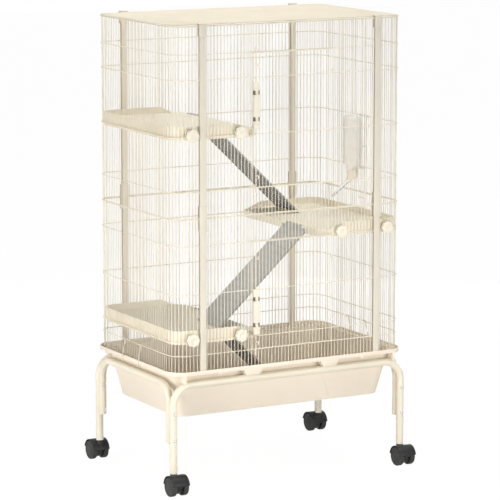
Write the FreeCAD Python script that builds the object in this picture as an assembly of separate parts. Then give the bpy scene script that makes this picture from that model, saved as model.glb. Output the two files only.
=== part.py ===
import FreeCAD, Part
import math
import os

# Small animal cage: two wire tiers on a base tray, carried by a tube stand on casters.
# Millimetres. X runs left to right, Y front to back (front is -Y), Z up.
# The origin is on the floor, midway between the four casters.

V = FreeCAD.Vector
UP = V(0, 0, 1)
OUT = "parts"

overrun = 2.0          # how far a cut runs past the face it opens
rest_gap = 0.3         # between pieces of different bodies that rest on each other
touch_gap = 0.2        # between pieces of one body that are laid side by side
pin_clearance = 0.06   # radial, round every pin that turns

# Round stock is drawn in flats, which keeps a cage of some 700 wires light;
# only what turns in a bore is a true cylinder.
stock_flat_count = 16
bend_steps = 5
bolt_flat_count = 8
hex_flat_count = 6
wheel_flat_count = 40
bottle_flat_count = 24

# Wire walls
wire = 2.0                 # upright wires
rail_wire = 2.6            # horizontal wires, outside the uprights
wire_pitch = 11.0
wall_half_x = 374.4        # to the outside of the uprights
wall_half_y = 243.4
wall_corner_radius = 43.4
corner_flat_count = 6           # per corner, one upright on each

# Heights above the floor, of the rails' centres
level_foot = 344.8         # feet of the lowest uprights, on the tray's ledge
level_seam = 785.9         # where the upper tier stands on the lower one
level_top = 1326.0

# Each rail's place in its tier, as a share of the tier's height
clip_share = 0.1161
low_platform_share = 0.2068
low_middle_share = 0.5094
middle_platform_share = 0.8268
upper_first_share = 0.1409
high_platform_share = 0.4261
upper_high_share = 0.7232
door_top_share = 0.8556


def lower_level(share):
    return level_foot + share * (level_seam - level_foot)


def upper_level(share):
    return level_seam + share * (level_top - level_seam)


level_clip = lower_level(clip_share)
level_low_platform = lower_level(low_platform_share)
level_low_middle = lower_level(low_middle_share)
level_middle_platform = lower_level(middle_platform_share)
level_upper_first = upper_level(upper_first_share)
level_high_platform = upper_level(high_platform_share)
level_upper_high = upper_level(upper_high_share)
level_door_top = upper_level(door_top_share)

# Posts, clipped over the panels' meeting edges
post_inset = 88.4          # from the side walls
post_x = wall_half_x - post_inset
post_flange_width = 19.0
post_flange = 3.4
post_web = 5.0
post_inner_width = 16.0
post_inner_flange = 3.0
post_wire_gap = 0.5        # between the flanges and the wires they hold

# Doors
door_half_width = 132.5
door_step = 2.0            # the door's end rails lie this far inside the opening's rails
door_wire = 2.6
door_gap = 0.7             # between the door's uprights and the wall's rails
hinge_clip = 6.4
hinge_clip_height = 8.0
hinge_clip_inset = 60.0    # from the door's ends to the clips

# Stand
tube_dia = 22.0
tube_wall = 1.2
tube_bend_radius = 57.0
leg_past_wall = 3.1        # legs' middles outside the side walls
leg_behind_wall = 5.4      # and behind the front one
leg_half_x = wall_half_x + leg_past_wall
leg_half_y = wall_half_y - leg_behind_wall
leg_foot_z = 62.0
ledge_above_rail = 32.3
short_leg_rise = 83.0
first_bolt_rise = 12.0     # from a short leg's foot
second_bolt_rise = 89.0
stand_rail_z = level_foot - ledge_above_rail
short_leg_foot_z = leg_foot_z + short_leg_rise
bolt_low_z = short_leg_foot_z + first_bolt_rise
bolt_high_z = short_leg_foot_z + second_bolt_rise
bolt_dia = 6.0
bolt_head_dia = 10.0
bolt_head_height = 4.0
bolt_end = 1.5
bolt_hole_clearance = 0.2

# Casters
wheel_dia = 56.0
wheel_width = 21.0
wheel_gap = 24.0           # between the two wheels
caster_trail = 19.0        # from the stem to the axle
axle_dia = 8.0
axle_end_inset = 3.0       # from a wheel's outer face to the end of the axle
hood_gap = 2.0             # between the wheels and the hood over them
hood_wall = 2.0
hood_start_angle = 10.0    # degrees above level, on the side away from the stem
hood_sweep_angle = 165.0
hood_flat_count = 12
body_clearance = 1.0       # each side of the body between the wheels
body_radius = 22.0
boss_dia = 20.0
boss_foot_z = 26.0
stem_dia = 8.0
stem_height = 42.0
stem_root = 6.0
plug_wall_clearance = 0.1
plug_depth = 46.0
plug_flange = 1.7
plug_blind_gap = 1.0


def box(x0, x1, y0, y1, z0, z1):
    return Part.makeBox(x1 - x0, y1 - y0, z1 - z0, V(x0, y0, z0))


def rod(radius, start, end):
    return Part.makeCylinder(radius, (end - start).Length, start, end - start)


def prism(points, depth):
    loop = Part.makePolygon(points + points[:1])
    return Part.Face(loop).extrude(depth)


def fuse(pieces):
    whole = pieces[0]
    if len(pieces) > 1:
        whole = whole.fuse(pieces[1:])
    return whole.removeSplitter()


def polar(centre_x, centre_y, radius, angle, z):
    turn = math.radians(angle)
    return V(centre_x + radius * math.cos(turn), centre_y + radius * math.sin(turn), z)


def rounded_ring(half_x, half_y, radius, z, centre_x=0):
    # A level rectangle with round corners, drawn in flats
    points = []
    for sign_x, sign_y, angle in ((1, 1, 0), (-1, 1, 90), (-1, -1, 180), (1, -1, 270)):
        middle_x = centre_x + sign_x * (half_x - radius)
        middle_y = sign_y * (half_y - radius)
        for step in range(corner_flat_count + 1):
            points.append(polar(middle_x, middle_y, radius, angle + 90 * step / corner_flat_count, z))
    return points


def round_ring(radius, centre, along, flats):
    # A ring square to a direction, its flats touching the circle
    if abs(along.z) > abs(along.x) + abs(along.y):
        across = along.cross(V(0, 1, 0)).normalize()
    else:
        across = along.cross(UP).normalize()
    up = across.cross(along).normalize()
    reach = radius / math.cos(math.pi / flats)
    points = []
    for step in range(flats):
        turn = 2 * math.pi * (step + 1 / 2) / flats
        points.append(centre + across * (reach * math.cos(turn)) + up * (reach * math.sin(turn)))
    return points


def ring_solid(rings):
    # A closed solid through rings of as many points each
    faces = []
    for ring in (rings[0], rings[-1]):
        faces.append(Part.Face(Part.makePolygon(ring + ring[:1])))
    for near, far in zip(rings[:-1], rings[1:]):
        for step in range(len(near)):
            after = (step + 1) % len(near)
            corners = [near[step], near[after], far[after], far[step]]
            faces.append(Part.Face(Part.makePolygon(corners + corners[:1])))
    solid = Part.Solid(Part.Shell(faces))
    if solid.Volume < 0:
        solid.reverse()
    return solid


def flat_rod(radius, start, end, flats):
    along = end - start
    return ring_solid([round_ring(radius, start, along, flats), round_ring(radius, end, along, flats)])


# Stand: two long arches front and back, two short ones between their legs

short_leg_y = leg_half_y - tube_dia - touch_gap


def tube_arch(foot_a, foot_b):
    # One bent tube: up from a foot, over, and down to the other foot
    along = V(foot_b - foot_a).normalize()
    rise = V(0, 0, stand_rail_z - tube_bend_radius - foot_a.z)
    radial = along * tube_bend_radius
    rings = [round_ring(tube_dia / 2, foot_a, UP, stock_flat_count)]
    for pivot, first in ((foot_a + rise + radial, 0), (foot_b + rise - radial, 90)):
        for step in range(bend_steps + 1):
            turner = FreeCAD.Rotation(UP.cross(along), first + 90 * step / bend_steps)
            start = round_ring(tube_dia / 2, pivot - radial, UP, stock_flat_count)
            rings.append([pivot + turner.multVec(point - pivot) for point in start])
    rings.append([point - rise for point in rings[-1]])
    return ring_solid(rings)


def bolt_holes(arch):
    hole = bolt_dia / 2 + bolt_hole_clearance
    reach = leg_half_y + tube_dia
    for x in (-leg_half_x, leg_half_x):
        for z in (bolt_low_z, bolt_high_z):
            for y in (-reach, 0):
                arch = arch.cut(flat_rod(hole, V(x, y, z), V(x, y + reach, z), bolt_flat_count))
    return arch


def leg_frame(y):
    arch = tube_arch(V(-leg_half_x, y, leg_foot_z), V(leg_half_x, y, leg_foot_z))
    bore = tube_dia / 2 - tube_wall
    top = leg_foot_z + plug_depth + touch_gap
    for x in (-leg_half_x, leg_half_x):
        arch = arch.cut(flat_rod(bore, V(x, y, leg_foot_z - overrun), V(x, y, top), stock_flat_count))
    return bolt_holes(arch)


def side_tube(x):
    feet = V(x, -short_leg_y, short_leg_foot_z), V(x, short_leg_y, short_leg_foot_z)
    return bolt_holes(tube_arch(*feet))


def frame_bolts():
    grip = 2 * tube_dia + touch_gap
    bolts = []
    for x in (-leg_half_x, leg_half_x):
        for face_y in (-leg_half_y - tube_dia / 2, short_leg_y - tube_dia / 2):
            for z in (bolt_low_z, bolt_high_z):
                face = V(x, face_y, z)
                far = V(x, face_y + grip, z)
                rise = V(0, bolt_head_height, 0)
                head = flat_rod(bolt_head_dia / 2, face - rise, face, hex_flat_count)
                nut = flat_rod(bolt_head_dia / 2, far, far + rise, hex_flat_count)
                shank = flat_rod(bolt_dia / 2, face - rise / 2, far + rise + V(0, bolt_end, 0), bolt_flat_count)
                bolts.append(fuse([shank, head, nut]))
    return bolts


def leg_plugs():
    plugs = []
    bore = stem_dia / 2 + pin_clearance
    flange_z = leg_foot_z - plug_flange
    stem_top = flange_z - rest_gap + stem_height
    for x in (-leg_half_x, leg_half_x):
        for y in (-leg_half_y, leg_half_y):
            foot = V(x, y, flange_z)
            top = V(x, y, leg_foot_z + plug_depth)
            sleeve = flat_rod(tube_dia / 2 - tube_wall - plug_wall_clearance, foot, top, stock_flat_count)
            flange = flat_rod(tube_dia / 2, foot, V(x, y, leg_foot_z), stock_flat_count)
            hole = rod(bore, foot - UP * overrun, V(x, y, stem_top + plug_blind_gap))
            plugs.append(fuse([sleeve, flange]).cut(hole))
    return plugs


# Casters: a hooded body that swivels in the leg plug, with a wheel on each side

axle_z = wheel_dia / 2
caster_top = leg_foot_z - plug_flange - rest_gap
caster_half_width = wheel_gap / 2 + wheel_width


def caster_hood(x, y, outward):
    axle_y = y + outward * caster_trail
    inner = wheel_dia / 2 + hood_gap
    outer = inner + hood_wall
    half_body = wheel_gap / 2 - body_clearance
    left = x - caster_half_width
    across = V(2 * caster_half_width, 0, 0)

    def arc_points(radius, first, last, steps):
        points = []
        for step in range(steps + 1):
            turn = math.radians(first + (last - first) * step / steps)
            points.append(V(left, axle_y + outward * radius * math.cos(turn),
                            axle_z + radius * math.sin(turn)))
        return points

    first = hood_start_angle
    last = hood_start_angle + hood_sweep_angle
    reach = inner / math.cos(math.radians(hood_sweep_angle / hood_flat_count / 2))
    under = arc_points(reach, last, first, hood_flat_count)
    cover = prism(arc_points(reach + hood_wall, first, last, hood_flat_count) + under, across)
    body = under + arc_points(body_radius, 0, -180, hood_flat_count)
    hub = prism([point + V(caster_half_width - half_body, 0, 0) for point in body], V(2 * half_body, 0, 0))
    boss = flat_rod(boss_dia / 2, V(x, y, boss_foot_z), V(x, y, caster_top), stock_flat_count)
    stem = rod(stem_dia / 2, V(x, y, caster_top - stem_root), V(x, y, caster_top + stem_height))
    axle_reach = caster_half_width - axle_end_inset
    axle = rod(axle_dia / 2, V(x - axle_reach, axle_y, axle_z), V(x + axle_reach, axle_y, axle_z))
    return fuse([cover, hub, boss, stem, axle])


def caster_wheels(x, y, outward):
    axle_y = y + outward * caster_trail
    bore = axle_dia / 2 + pin_clearance
    wheels = []
    for side in (-1, 1):
        near = V(x + side * wheel_gap / 2, axle_y, axle_z)
        far = V(x + side * caster_half_width, axle_y, axle_z)
        blind = V(x + side * (caster_half_width - axle_end_inset + touch_gap), axle_y, axle_z)
        inside = V(x + side * (wheel_gap / 2 - overrun), axle_y, axle_z)
        wheels.append(flat_rod(wheel_dia / 2, near, far, wheel_flat_count).cut(rod(bore, inside, blind)))
    return wheels


# Base tray: a tapered pan that hangs in the stand, with a wide ledge for the wire walls

tray_rim_past_wall = 11.1
tray_rim_half_x = wall_half_x + tray_rim_past_wall
tray_rim_half_y = wall_half_y + tray_rim_past_wall
tray_rim_radius = wall_corner_radius + tray_rim_past_wall
tray_rim_rise = 7.2         # of the lip, above the ledge
tray_rim_drop = 4.8
tray_rim_top = level_foot + tray_rim_rise
tray_rim_foot = level_foot - tray_rim_drop
tray_wall = 2.6
tray_side_ledge = 21.5      # from the lip's outside to the pan's
tray_front_ledge = 30.0
tray_side_slope = 27.0      # how far the pan draws in from its top to its floor
tray_front_slope = 35.5
tray_top_half_x = tray_rim_half_x - tray_side_ledge
tray_top_half_y = tray_rim_half_y - tray_front_ledge
tray_top_radius = 45.0
tray_floor_half_x = tray_top_half_x - tray_side_slope
tray_floor_half_y = tray_top_half_y - tray_front_slope
tray_floor_radius = 34.0
tray_depth = 135.8
tray_floor_z = level_foot - tray_depth
tray_tab_x = 127.0          # wide feet over the stand's front and back rails
tray_tab_top_width = 64.0
tray_tab_foot_width = 44.0
tray_tab_depth = 26.0
tray_rib_inset = 32.5       # of the narrow feet over the bends, from the legs' middles
tray_rib_x = leg_half_x - tray_rib_inset
tray_rib_width = 7.0
tray_nub_x = 235.0
tray_nub_width = 16.0
tray_nub_depth = 6.0
tray_panel_recess = 1.2
tray_panel_rise = 7.0       # from the pan's floor to the panel's foot
tray_panel_height = 84.0
tray_panel_foot_z = tray_floor_z + tray_panel_rise
tray_panel_top_z = tray_panel_foot_z + tray_panel_height
tray_panel_top_half = 124.0
tray_panel_foot_half = 160.0


def tray_ring(inset, z):
    # The pan's outline at a height, drawn in by inset
    share = (z - tray_floor_z) / (level_foot - tray_wall - tray_floor_z)
    half_x = tray_floor_half_x + share * (tray_top_half_x - tray_floor_half_x)
    half_y = tray_floor_half_y + share * (tray_top_half_y - tray_floor_half_y)
    radius = tray_floor_radius + share * (tray_top_radius - tray_floor_radius)
    return rounded_ring(half_x - inset, half_y - inset, radius - inset, z)


def tray_wall_y(z):
    share = (z - tray_floor_z) / (level_foot - tray_wall - tray_floor_z)
    return tray_floor_half_y + share * (tray_top_half_y - tray_floor_half_y)


def bend_top_z(x):
    # Top of the stand's front rail at x, straight or on its bend
    bend_start = leg_half_x - tube_bend_radius
    reach = tube_bend_radius + tube_dia / 2
    past = max(abs(x) - bend_start, 0)
    return stand_rail_z - tube_bend_radius + math.sqrt(reach ** 2 - past ** 2)


def tray_foot(points, side):
    # A foot under the ledge, from the lip inwards
    lip_y = side * tray_rim_half_y
    outline = [V(x, lip_y, z) for x, z in points]
    return prism(outline, V(0, -side * tray_tab_depth, 0))


def base_tray():
    ledge_foot = level_foot - tray_wall

    def rim_ring(inset, z):
        return rounded_ring(tray_rim_half_x - inset, tray_rim_half_y - inset, tray_rim_radius - inset, z)

    shell = ring_solid([tray_ring(0, tray_floor_z), tray_ring(0, ledge_foot),
                        rim_ring(tray_wall, ledge_foot), rim_ring(tray_wall, tray_rim_foot),
                        rim_ring(0, tray_rim_foot), rim_ring(0, tray_rim_top),
                        rim_ring(tray_wall, tray_rim_top), rim_ring(tray_wall, level_foot),
                        tray_ring(tray_wall, level_foot), tray_ring(tray_wall, tray_floor_z + tray_wall)])
    hollow = ring_solid([tray_ring(tray_wall, tray_floor_z + tray_wall), tray_ring(tray_wall, level_foot)])
    feet = []
    for side in (-1, 1):
        tab_foot = bend_top_z(0) + touch_gap
        for x in (-tray_tab_x, tray_tab_x):
            top = tray_tab_top_width / 2
            foot = tray_tab_foot_width / 2
            feet.append(tray_foot([(x - top, ledge_foot), (x + top, ledge_foot),
                                   (x + foot, tab_foot), (x - foot, tab_foot)], side))
        for sign in (-1, 1):
            near = sign * (tray_rib_x - tray_rib_width / 2)
            far = sign * (tray_rib_x + tray_rib_width / 2)
            foot = bend_top_z(near) + touch_gap
            feet.append(tray_foot([(near, ledge_foot), (far, ledge_foot), (far, foot), (near, foot)], side))
            x = sign * tray_nub_x
            half = tray_nub_width / 2
            feet.append(prism([V(x - half, side * tray_rim_half_y, tray_rim_foot),
                               V(x + half, side * tray_rim_half_y, tray_rim_foot),
                               V(x, side * tray_rim_half_y, tray_rim_foot - tray_nub_depth)],
                              V(0, -side * tray_wall, 0)))
    tray = fuse([shell] + [foot.cut(hollow) for foot in feet])
    for side in (-1, 1):
        recess = []
        for z, half in ((tray_panel_top_z, tray_panel_top_half), (tray_panel_foot_z, tray_panel_foot_half)):
            deep = side * (tray_wall_y(z) - tray_panel_recess)
            recess += [V(-half, deep, z), V(half, deep, z)]
        outline = [recess[0], recess[1], recess[3], recess[2]]
        tray = tray.cut(prism(outline, V(0, side * overrun * 2, 0)))
    return tray


# Wire panels: uprights inside, rails outside, each wire a bar laid against its neighbours

rail_half_x = wall_half_x + rail_wire
rail_half_y = wall_half_y + rail_wire
corner_x = wall_half_x - wall_corner_radius
corner_y = wall_half_y - wall_corner_radius
web_end = post_web / 2 + rest_gap
side_end_x = post_x + web_end           # where a side panel's rails end, in the post
front_end_x = post_x - web_end          # where a front panel's rails end


def spread(start, end, pitch):
    # Places from start to end, as near to the pitch as whole steps allow
    steps = max(round(abs(end - start) / pitch), 1)
    return [start + (end - start) * step / steps for step in range(steps + 1)]


side_places = spread(-corner_y, corner_y, wire_pitch)
side_pitch = side_places[1] - side_places[0]
front_places = spread(-front_end_x + wire, front_end_x - wire, wire_pitch)
stub_places = spread(side_end_x + wire, corner_x - wire_pitch / 2, wire_pitch)


def between(places, wanted):
    # The place midway between two wires that is nearest to the one wanted
    middles = [(first + second) / 2 for first, second in zip(places[:-1], places[1:])]
    return min(middles, key=lambda middle: abs(middle - wanted))


def side_rail(side, z):
    # A side panel's rail: down the side wall and round both corners to the posts
    low = z - rail_wire / 2
    high = z + rail_wire / 2
    inner = side * wall_half_x
    outer = side * rail_half_x
    bars = [box(min(inner, outer), max(inner, outer), -corner_y, corner_y, low, high)]
    for end in (-1, 1):
        near_x = min(side * side_end_x, side * corner_x)
        far_x = max(side * side_end_x, side * corner_x)
        near_y = min(end * wall_half_y, end * rail_half_y)
        bars.append(box(near_x, far_x, near_y, near_y + rail_wire, low, high))
        inside, outside = [], []
        for step in range(corner_flat_count + 1):
            turn = math.radians(90 * step / corner_flat_count)
            way = V(side * math.cos(turn), end * math.sin(turn), 0)
            centre = V(side * corner_x, end * corner_y, low)
            inside.append(centre + way * wall_corner_radius)
            outside.append(centre + way * (wall_corner_radius + rail_wire))
        bars.append(prism(inside + outside[::-1], V(0, 0, rail_wire)))
    return bars


def side_uprights(side, z0, z1):
    bars = []
    outer = side * wall_half_x
    inner = side * (wall_half_x - wire)
    for y in side_places[1:-1]:
        bars.append(box(min(inner, outer), max(inner, outer), y - wire / 2, y + wire / 2, z0, z1))
    for end in (-1, 1):
        near_y = min(end * wall_half_y, end * (wall_half_y - wire))
        for x in stub_places:
            middle = side * x
            bars.append(box(middle - wire / 2, middle + wire / 2, near_y, near_y + wire, z0, z1))
        for step in range(corner_flat_count):
            half_flat = math.radians(45 / corner_flat_count)
            turn = math.radians(90 * step / corner_flat_count) + half_flat
            reach = wall_corner_radius * math.cos(half_flat)
            bar = box(reach - wire, reach, -wire / 2, wire / 2, z0, z1)
            way = V(side * math.cos(turn), end * math.sin(turn), 0)
            bar.rotate(V(0, 0, 0), UP, math.degrees(math.atan2(way.y, way.x)))
            bar.translate(V(side * corner_x, end * corner_y, 0))
            bars.append(bar)
    return bars


def side_panel(side, z0, z1, levels):
    bars = side_uprights(side, z0, z1)
    for z in levels:
        bars += side_rail(side, z)
    return bars


def flat_rail(end, x0, x1, z):
    near_y = min(end * wall_half_y, end * rail_half_y)
    return box(x0, x1, near_y, near_y + rail_wire, z - rail_wire / 2, z + rail_wire / 2)


def flat_upright(end, x, z0, z1):
    near_y = min(end * wall_half_y, end * (wall_half_y - wire))
    return box(x - wire / 2, x + wire / 2, near_y, near_y + wire, z0, z1)


def rear_panel(z0, z1, levels):
    bars = [flat_upright(1, x, z0, z1) for x in front_places]
    bars += [flat_rail(1, -front_end_x, front_end_x, z) for z in levels]
    return bars


opening_edge = min(x for x in front_places if x > door_half_width)
hinge_x = door_half_width
hinge_y = -(rail_half_y + door_gap + wire + door_wire / 2)


def hinge_clip_block(z):
    # Holds the door's hinge wire to the wire at the edge of the opening
    half = hinge_clip / 2
    top = z + hinge_clip_height
    block = box(hinge_x - half, opening_edge + wire / 2, hinge_y - half, -wall_half_y, z, top)
    hole = rod(door_wire / 2 + pin_clearance, V(hinge_x, hinge_y, z - overrun),
               V(hinge_x, hinge_y, top + overrun))
    return block.cut(hole)


def front_panel(z0, z1, door_foot, door_head, levels):
    # The wires inside the door opening stop at its top and bottom rails
    bars = []
    for x in front_places:
        if abs(x) < opening_edge - wire / 2:
            bars.append(flat_upright(-1, x, z0, door_foot + rail_wire / 2))
            bars.append(flat_upright(-1, x, door_head - rail_wire / 2, z1))
        else:
            bars.append(flat_upright(-1, x, z0, z1))
    stop = opening_edge + wire / 2
    for z in levels:
        if door_foot < z < door_head:
            bars.append(flat_rail(-1, -front_end_x, -stop, z))
            bars.append(flat_rail(-1, stop, front_end_x, z))
        else:
            bars.append(flat_rail(-1, -front_end_x, front_end_x, z))
    for z in (door_foot + hinge_clip_inset, door_head - hinge_clip_inset - hinge_clip_height):
        bars.append(hinge_clip_block(z))
    return bars


seam_low = level_seam - rail_wire / 2 - touch_gap / 2
seam_high = level_seam + rail_wire / 2 + touch_gap / 2
lower_levels = (level_clip, level_low_platform, level_low_middle, level_middle_platform, seam_low)
upper_levels = (seam_high, level_upper_first, level_high_platform, level_upper_high,
                level_door_top, level_top)
lower_span = (level_foot, seam_low + rail_wire / 2)
upper_span = (seam_high - rail_wire / 2, level_top + rail_wire / 2)


# Top panel: close wires from side to side on a rim that follows the walls

top_cross_x = 178.0
top_hook = 14.0
top_edge_gap = 10.0       # from the walls to the first wire, where the post caps reach through
top_z = level_top + rail_wire / 2


def top_panel():
    bars = []
    low = top_z
    high = top_z + rail_wire
    for side in (-1, 1):
        bars.append(box(side * wall_half_x - (rail_wire if side < 0 else 0),
                        side * wall_half_x + (rail_wire if side > 0 else 0),
                        -corner_y, corner_y, low, high))
        near_y = side * wall_half_y - (rail_wire if side < 0 else 0)
        bars.append(box(-corner_x, corner_x, near_y, near_y + rail_wire, low, high))
        for end in (-1, 1):
            inside, outside = [], []
            for step in range(corner_flat_count + 1):
                turn = math.radians(90 * step / corner_flat_count)
                way = V(side * math.cos(turn), end * math.sin(turn), 0)
                centre = V(side * corner_x, end * corner_y, low)
                inside.append(centre + way * wall_corner_radius)
                outside.append(centre + way * (wall_corner_radius + rail_wire))
            bars.append(prism(inside + outside[::-1], V(0, 0, rail_wire)))
    places = spread(-wall_half_y + top_edge_gap, wall_half_y - top_edge_gap, wire_pitch)
    for y in places:
        past = max(abs(y) - corner_y, 0)
        reach = corner_x + math.sqrt((wall_corner_radius + rail_wire / 2) ** 2 - past ** 2)
        bars.append(box(-reach, reach, y - wire / 2, y + wire / 2, high, high + wire))
    for x in (-top_cross_x, 0, top_cross_x):
        half = rail_wire / 2
        run = box(x - half, x + half, -rail_half_y, rail_half_y, low, high)
        for end in (-1, 1):
            near_y = min(end * wall_half_y, end * rail_half_y)
            run = run.cut(box(x - half - overrun, x + half + overrun, near_y, near_y + rail_wire,
                              low - overrun, high + overrun))
        bars.append(run)
        for end in (-1, 1):
            face_y = end * rail_half_y
            near_y = min(face_y, face_y + end * rail_wire)
            bars.append(box(x - half, x + half, near_y, near_y + rail_wire, high - top_hook, high))
    return bars


# Posts, sleeves and caps

post_outer_y = rail_half_y + post_wire_gap + post_flange
post_outer_inside = rail_half_y + post_wire_gap
post_inner_y = wall_half_y - wire - post_wire_gap
post_inner_face = post_inner_y - post_inner_flange
post_split_gap = 1.0
post_foot_z = level_foot + touch_gap
post_top_z = top_z - rest_gap


def post_outline(x, end, z):
    flange = post_flange_width / 2
    web = post_web / 2
    inner = post_inner_width / 2
    half = [(flange, post_outer_y), (flange, post_outer_inside), (web, post_outer_inside),
            (web, post_inner_y), (inner, post_inner_y), (inner, post_inner_face)]
    right = [V(x + across, end * y, z) for across, y in half]
    left = [V(x - across, end * y, z) for across, y in half]
    return right + left[::-1]


def posts(z0, z1):
    height = V(0, 0, z1 - z0)
    return [prism(post_outline(x, end, z0), height) for x in (-post_x, post_x) for end in (-1, 1)]


sleeve_height = 72.0
sleeve_wall = 2.0
sleeve_outer_lip = 2.4
cap_height = 35.0
cap_rise = 2.5
cap_wall = 2.0


def clip_over(x, end, z0, z1, wall):
    # Two plates that clip over the post's outer and inner flanges
    fit = touch_gap
    half = post_flange_width / 2 + fit
    outer_y = post_outer_y + fit
    outside = [V(x - half - wall, end * (outer_y + wall), z0), V(x + half + wall, end * (outer_y + wall), z0),
               V(x + half + wall, end * (post_outer_y - sleeve_outer_lip), z0),
               V(x + half, end * (post_outer_y - sleeve_outer_lip), z0),
               V(x + half, end * outer_y, z0), V(x - half, end * outer_y, z0),
               V(x - half, end * (post_outer_y - sleeve_outer_lip), z0),
               V(x - half - wall, end * (post_outer_y - sleeve_outer_lip), z0)]
    half = post_inner_width / 2 + fit
    inner_y = post_inner_face - fit
    lip_y = post_inner_face + sleeve_outer_lip
    inside = [V(x - half - wall, end * (inner_y - wall), z0), V(x + half + wall, end * (inner_y - wall), z0),
              V(x + half + wall, end * lip_y, z0), V(x + half, end * lip_y, z0),
              V(x + half, end * inner_y, z0), V(x - half, end * inner_y, z0),
              V(x - half, end * lip_y, z0), V(x - half - wall, end * lip_y, z0)]
    return [prism(outline, V(0, 0, z1 - z0)) for outline in (outside, inside)]


def post_sleeves():
    plates = []
    for x in (-post_x, post_x):
        for end in (-1, 1):
            plates += clip_over(x, end, level_seam - sleeve_height / 2, level_seam + sleeve_height / 2,
                                sleeve_wall)
    return plates


cap_foot_z = top_z + rail_wire + wire + cap_rise - cap_height


def post_caps():
    caps = []
    lid_z = top_z + rail_wire + wire + touch_gap
    for x in (-post_x, post_x):
        for end in (-1, 1):
            outer, inner = clip_over(x, end, cap_foot_z, lid_z, cap_wall)
            half = post_flange_width / 2 + touch_gap + cap_wall
            far = end * (post_outer_y + touch_gap + cap_wall)
            near = end * (post_inner_face - touch_gap - cap_wall)
            lid = box(x - half, x + half, min(far, near), max(far, near), lid_z, lid_z + cap_rise)
            caps.append(fuse([outer, inner, lid]))
    return caps


# Doors: a leaf of wires in front of the wall, hung on its own right-hand wire

leaf_rail_front = hinge_y - door_wire / 2
leaf_rail_back = hinge_y + door_wire / 2
door_overhang = 3.0


def door_leaf(door_foot, door_head, levels):
    foot = door_foot + door_step
    head = door_head - door_step
    bars = []
    for z in (foot, head) + tuple(z for z in levels if door_foot < z < door_head):
        bars.append(box(-hinge_x, hinge_x - door_wire / 2, leaf_rail_front, leaf_rail_back,
                        z - door_wire / 2, z + door_wire / 2))
    inner = [x for x in front_places if abs(x) < opening_edge - wire / 2]
    for x in inner + [-hinge_x + wire / 2]:
        bars.append(box(x - wire / 2, x + wire / 2, leaf_rail_back, leaf_rail_back + wire,
                        foot - door_overhang, head + door_overhang))
    bars.append(rod(door_wire / 2, V(hinge_x, hinge_y, foot - door_overhang),
                    V(hinge_x, hinge_y, head + door_overhang)))
    return bars


# Door latches: a plastic housing on the leaf and two bolts that slide in it

latch_inset = 13.5          # from the door's free edge
latch_x = latch_inset - door_half_width
latch_width = 21.0
latch_height = 131.0
latch_depth = 12.0
latch_middle_share = 0.608        # of the upper door's height, to its housing's centre
latch_lower_share = 0.3525        # of the lower door's height, to its housing's
latch_upper_z = level_upper_first + latch_middle_share * (level_door_top - level_upper_first)
latch_lower_z = level_clip + latch_lower_share * (level_middle_platform - level_clip)
latch_notch_height = 12.0
latch_notch_depth = 9.6
latch_notch_offset = 37.5   # from the housing's centre to each notch's
latch_stem_width = 8.0      # left round the bolt inside a notch
latch_stem_depth = 2.0      # from the housing's face to the stem's
bolt_wire = 3.2
bolt_fit = 0.2
bolt_reach = 15.0           # past the rail that it locks on
bolt_finger = 14.0
upper_top_finger_share = 0.557        # of the bolt's length between the housing and the rail
upper_bottom_finger_share = 0.785
lower_top_finger_share = 0.640
lower_bottom_finger_share = 0.445


def finger_place(housing_z, rail_z, share):
    housing_end = housing_z + math.copysign(latch_height / 2, rail_z - housing_z)
    return housing_end + share * (rail_z - housing_end)


upper_top_finger_z = finger_place(latch_upper_z, level_door_top, upper_top_finger_share)
upper_bottom_finger_z = finger_place(latch_upper_z, level_upper_first, upper_bottom_finger_share)
lower_top_finger_z = finger_place(latch_lower_z, level_middle_platform, lower_top_finger_share)
lower_bottom_finger_z = finger_place(latch_lower_z, level_clip, lower_bottom_finger_share)
bolt_bridge = 6.0           # of the housing between the two bolts


latch_front = leaf_rail_front - latch_depth
bolt_y = leaf_rail_front - rest_gap - bolt_wire / 2
bolt_travel = 18.0


def latch_housing(centre_z):
    half = latch_width / 2
    foot = centre_z - latch_height / 2
    shell = box(latch_x - half, latch_x + half, latch_front, leaf_rail_front, foot, foot + latch_height)
    slot = bolt_wire / 2 + bolt_fit
    for sign in (-1, 1):
        near = centre_z + sign * bolt_bridge / 2
        far = centre_z + sign * (latch_height / 2 + overrun)
        shell = shell.cut(box(latch_x - slot, latch_x + slot, bolt_y - slot, leaf_rail_front + overrun,
                              min(near, far), max(near, far)))
        middle = centre_z + sign * latch_notch_offset
        low = middle - latch_notch_height / 2
        high = middle + latch_notch_height / 2
        notch = box(latch_x - half - overrun, latch_x + half + overrun,
                    latch_front - overrun, latch_front + latch_notch_depth, low, high)
        stem = box(latch_x - latch_stem_width / 2, latch_x + latch_stem_width / 2,
                   latch_front + latch_stem_depth, leaf_rail_front, low, high)
        shell = shell.cut(notch.cut(stem))
    return shell


def latch_bolt(centre_z, rail_z, finger_z):
    sign = 1 if rail_z > centre_z else -1
    half = bolt_wire / 2
    tail = centre_z + sign * (bolt_bridge / 2 + bolt_travel + rest_gap)
    tip = rail_z + sign * bolt_reach
    bar = box(latch_x - half, latch_x + half, bolt_y - half, bolt_y + half, min(tail, tip), max(tail, tip))
    finger = box(latch_x - half, latch_x + half, bolt_y - half - bolt_finger, bolt_y - half,
                 finger_z - half, finger_z + half)
    hook_z = finger_z + sign * half
    hook_far = hook_z + sign * bolt_finger / 2
    hook = box(latch_x - half, latch_x + half, bolt_y - half - bolt_finger, bolt_y + half - bolt_finger,
               min(hook_z, hook_far), max(hook_z, hook_far))
    return fuse([bar, finger, hook])


# Platforms: moulded trays with a skirt and a raised lip that falls to the floor's level
# at the free edge, held by two knobs at the front. A ramp hooks into a slot by that edge

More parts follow.
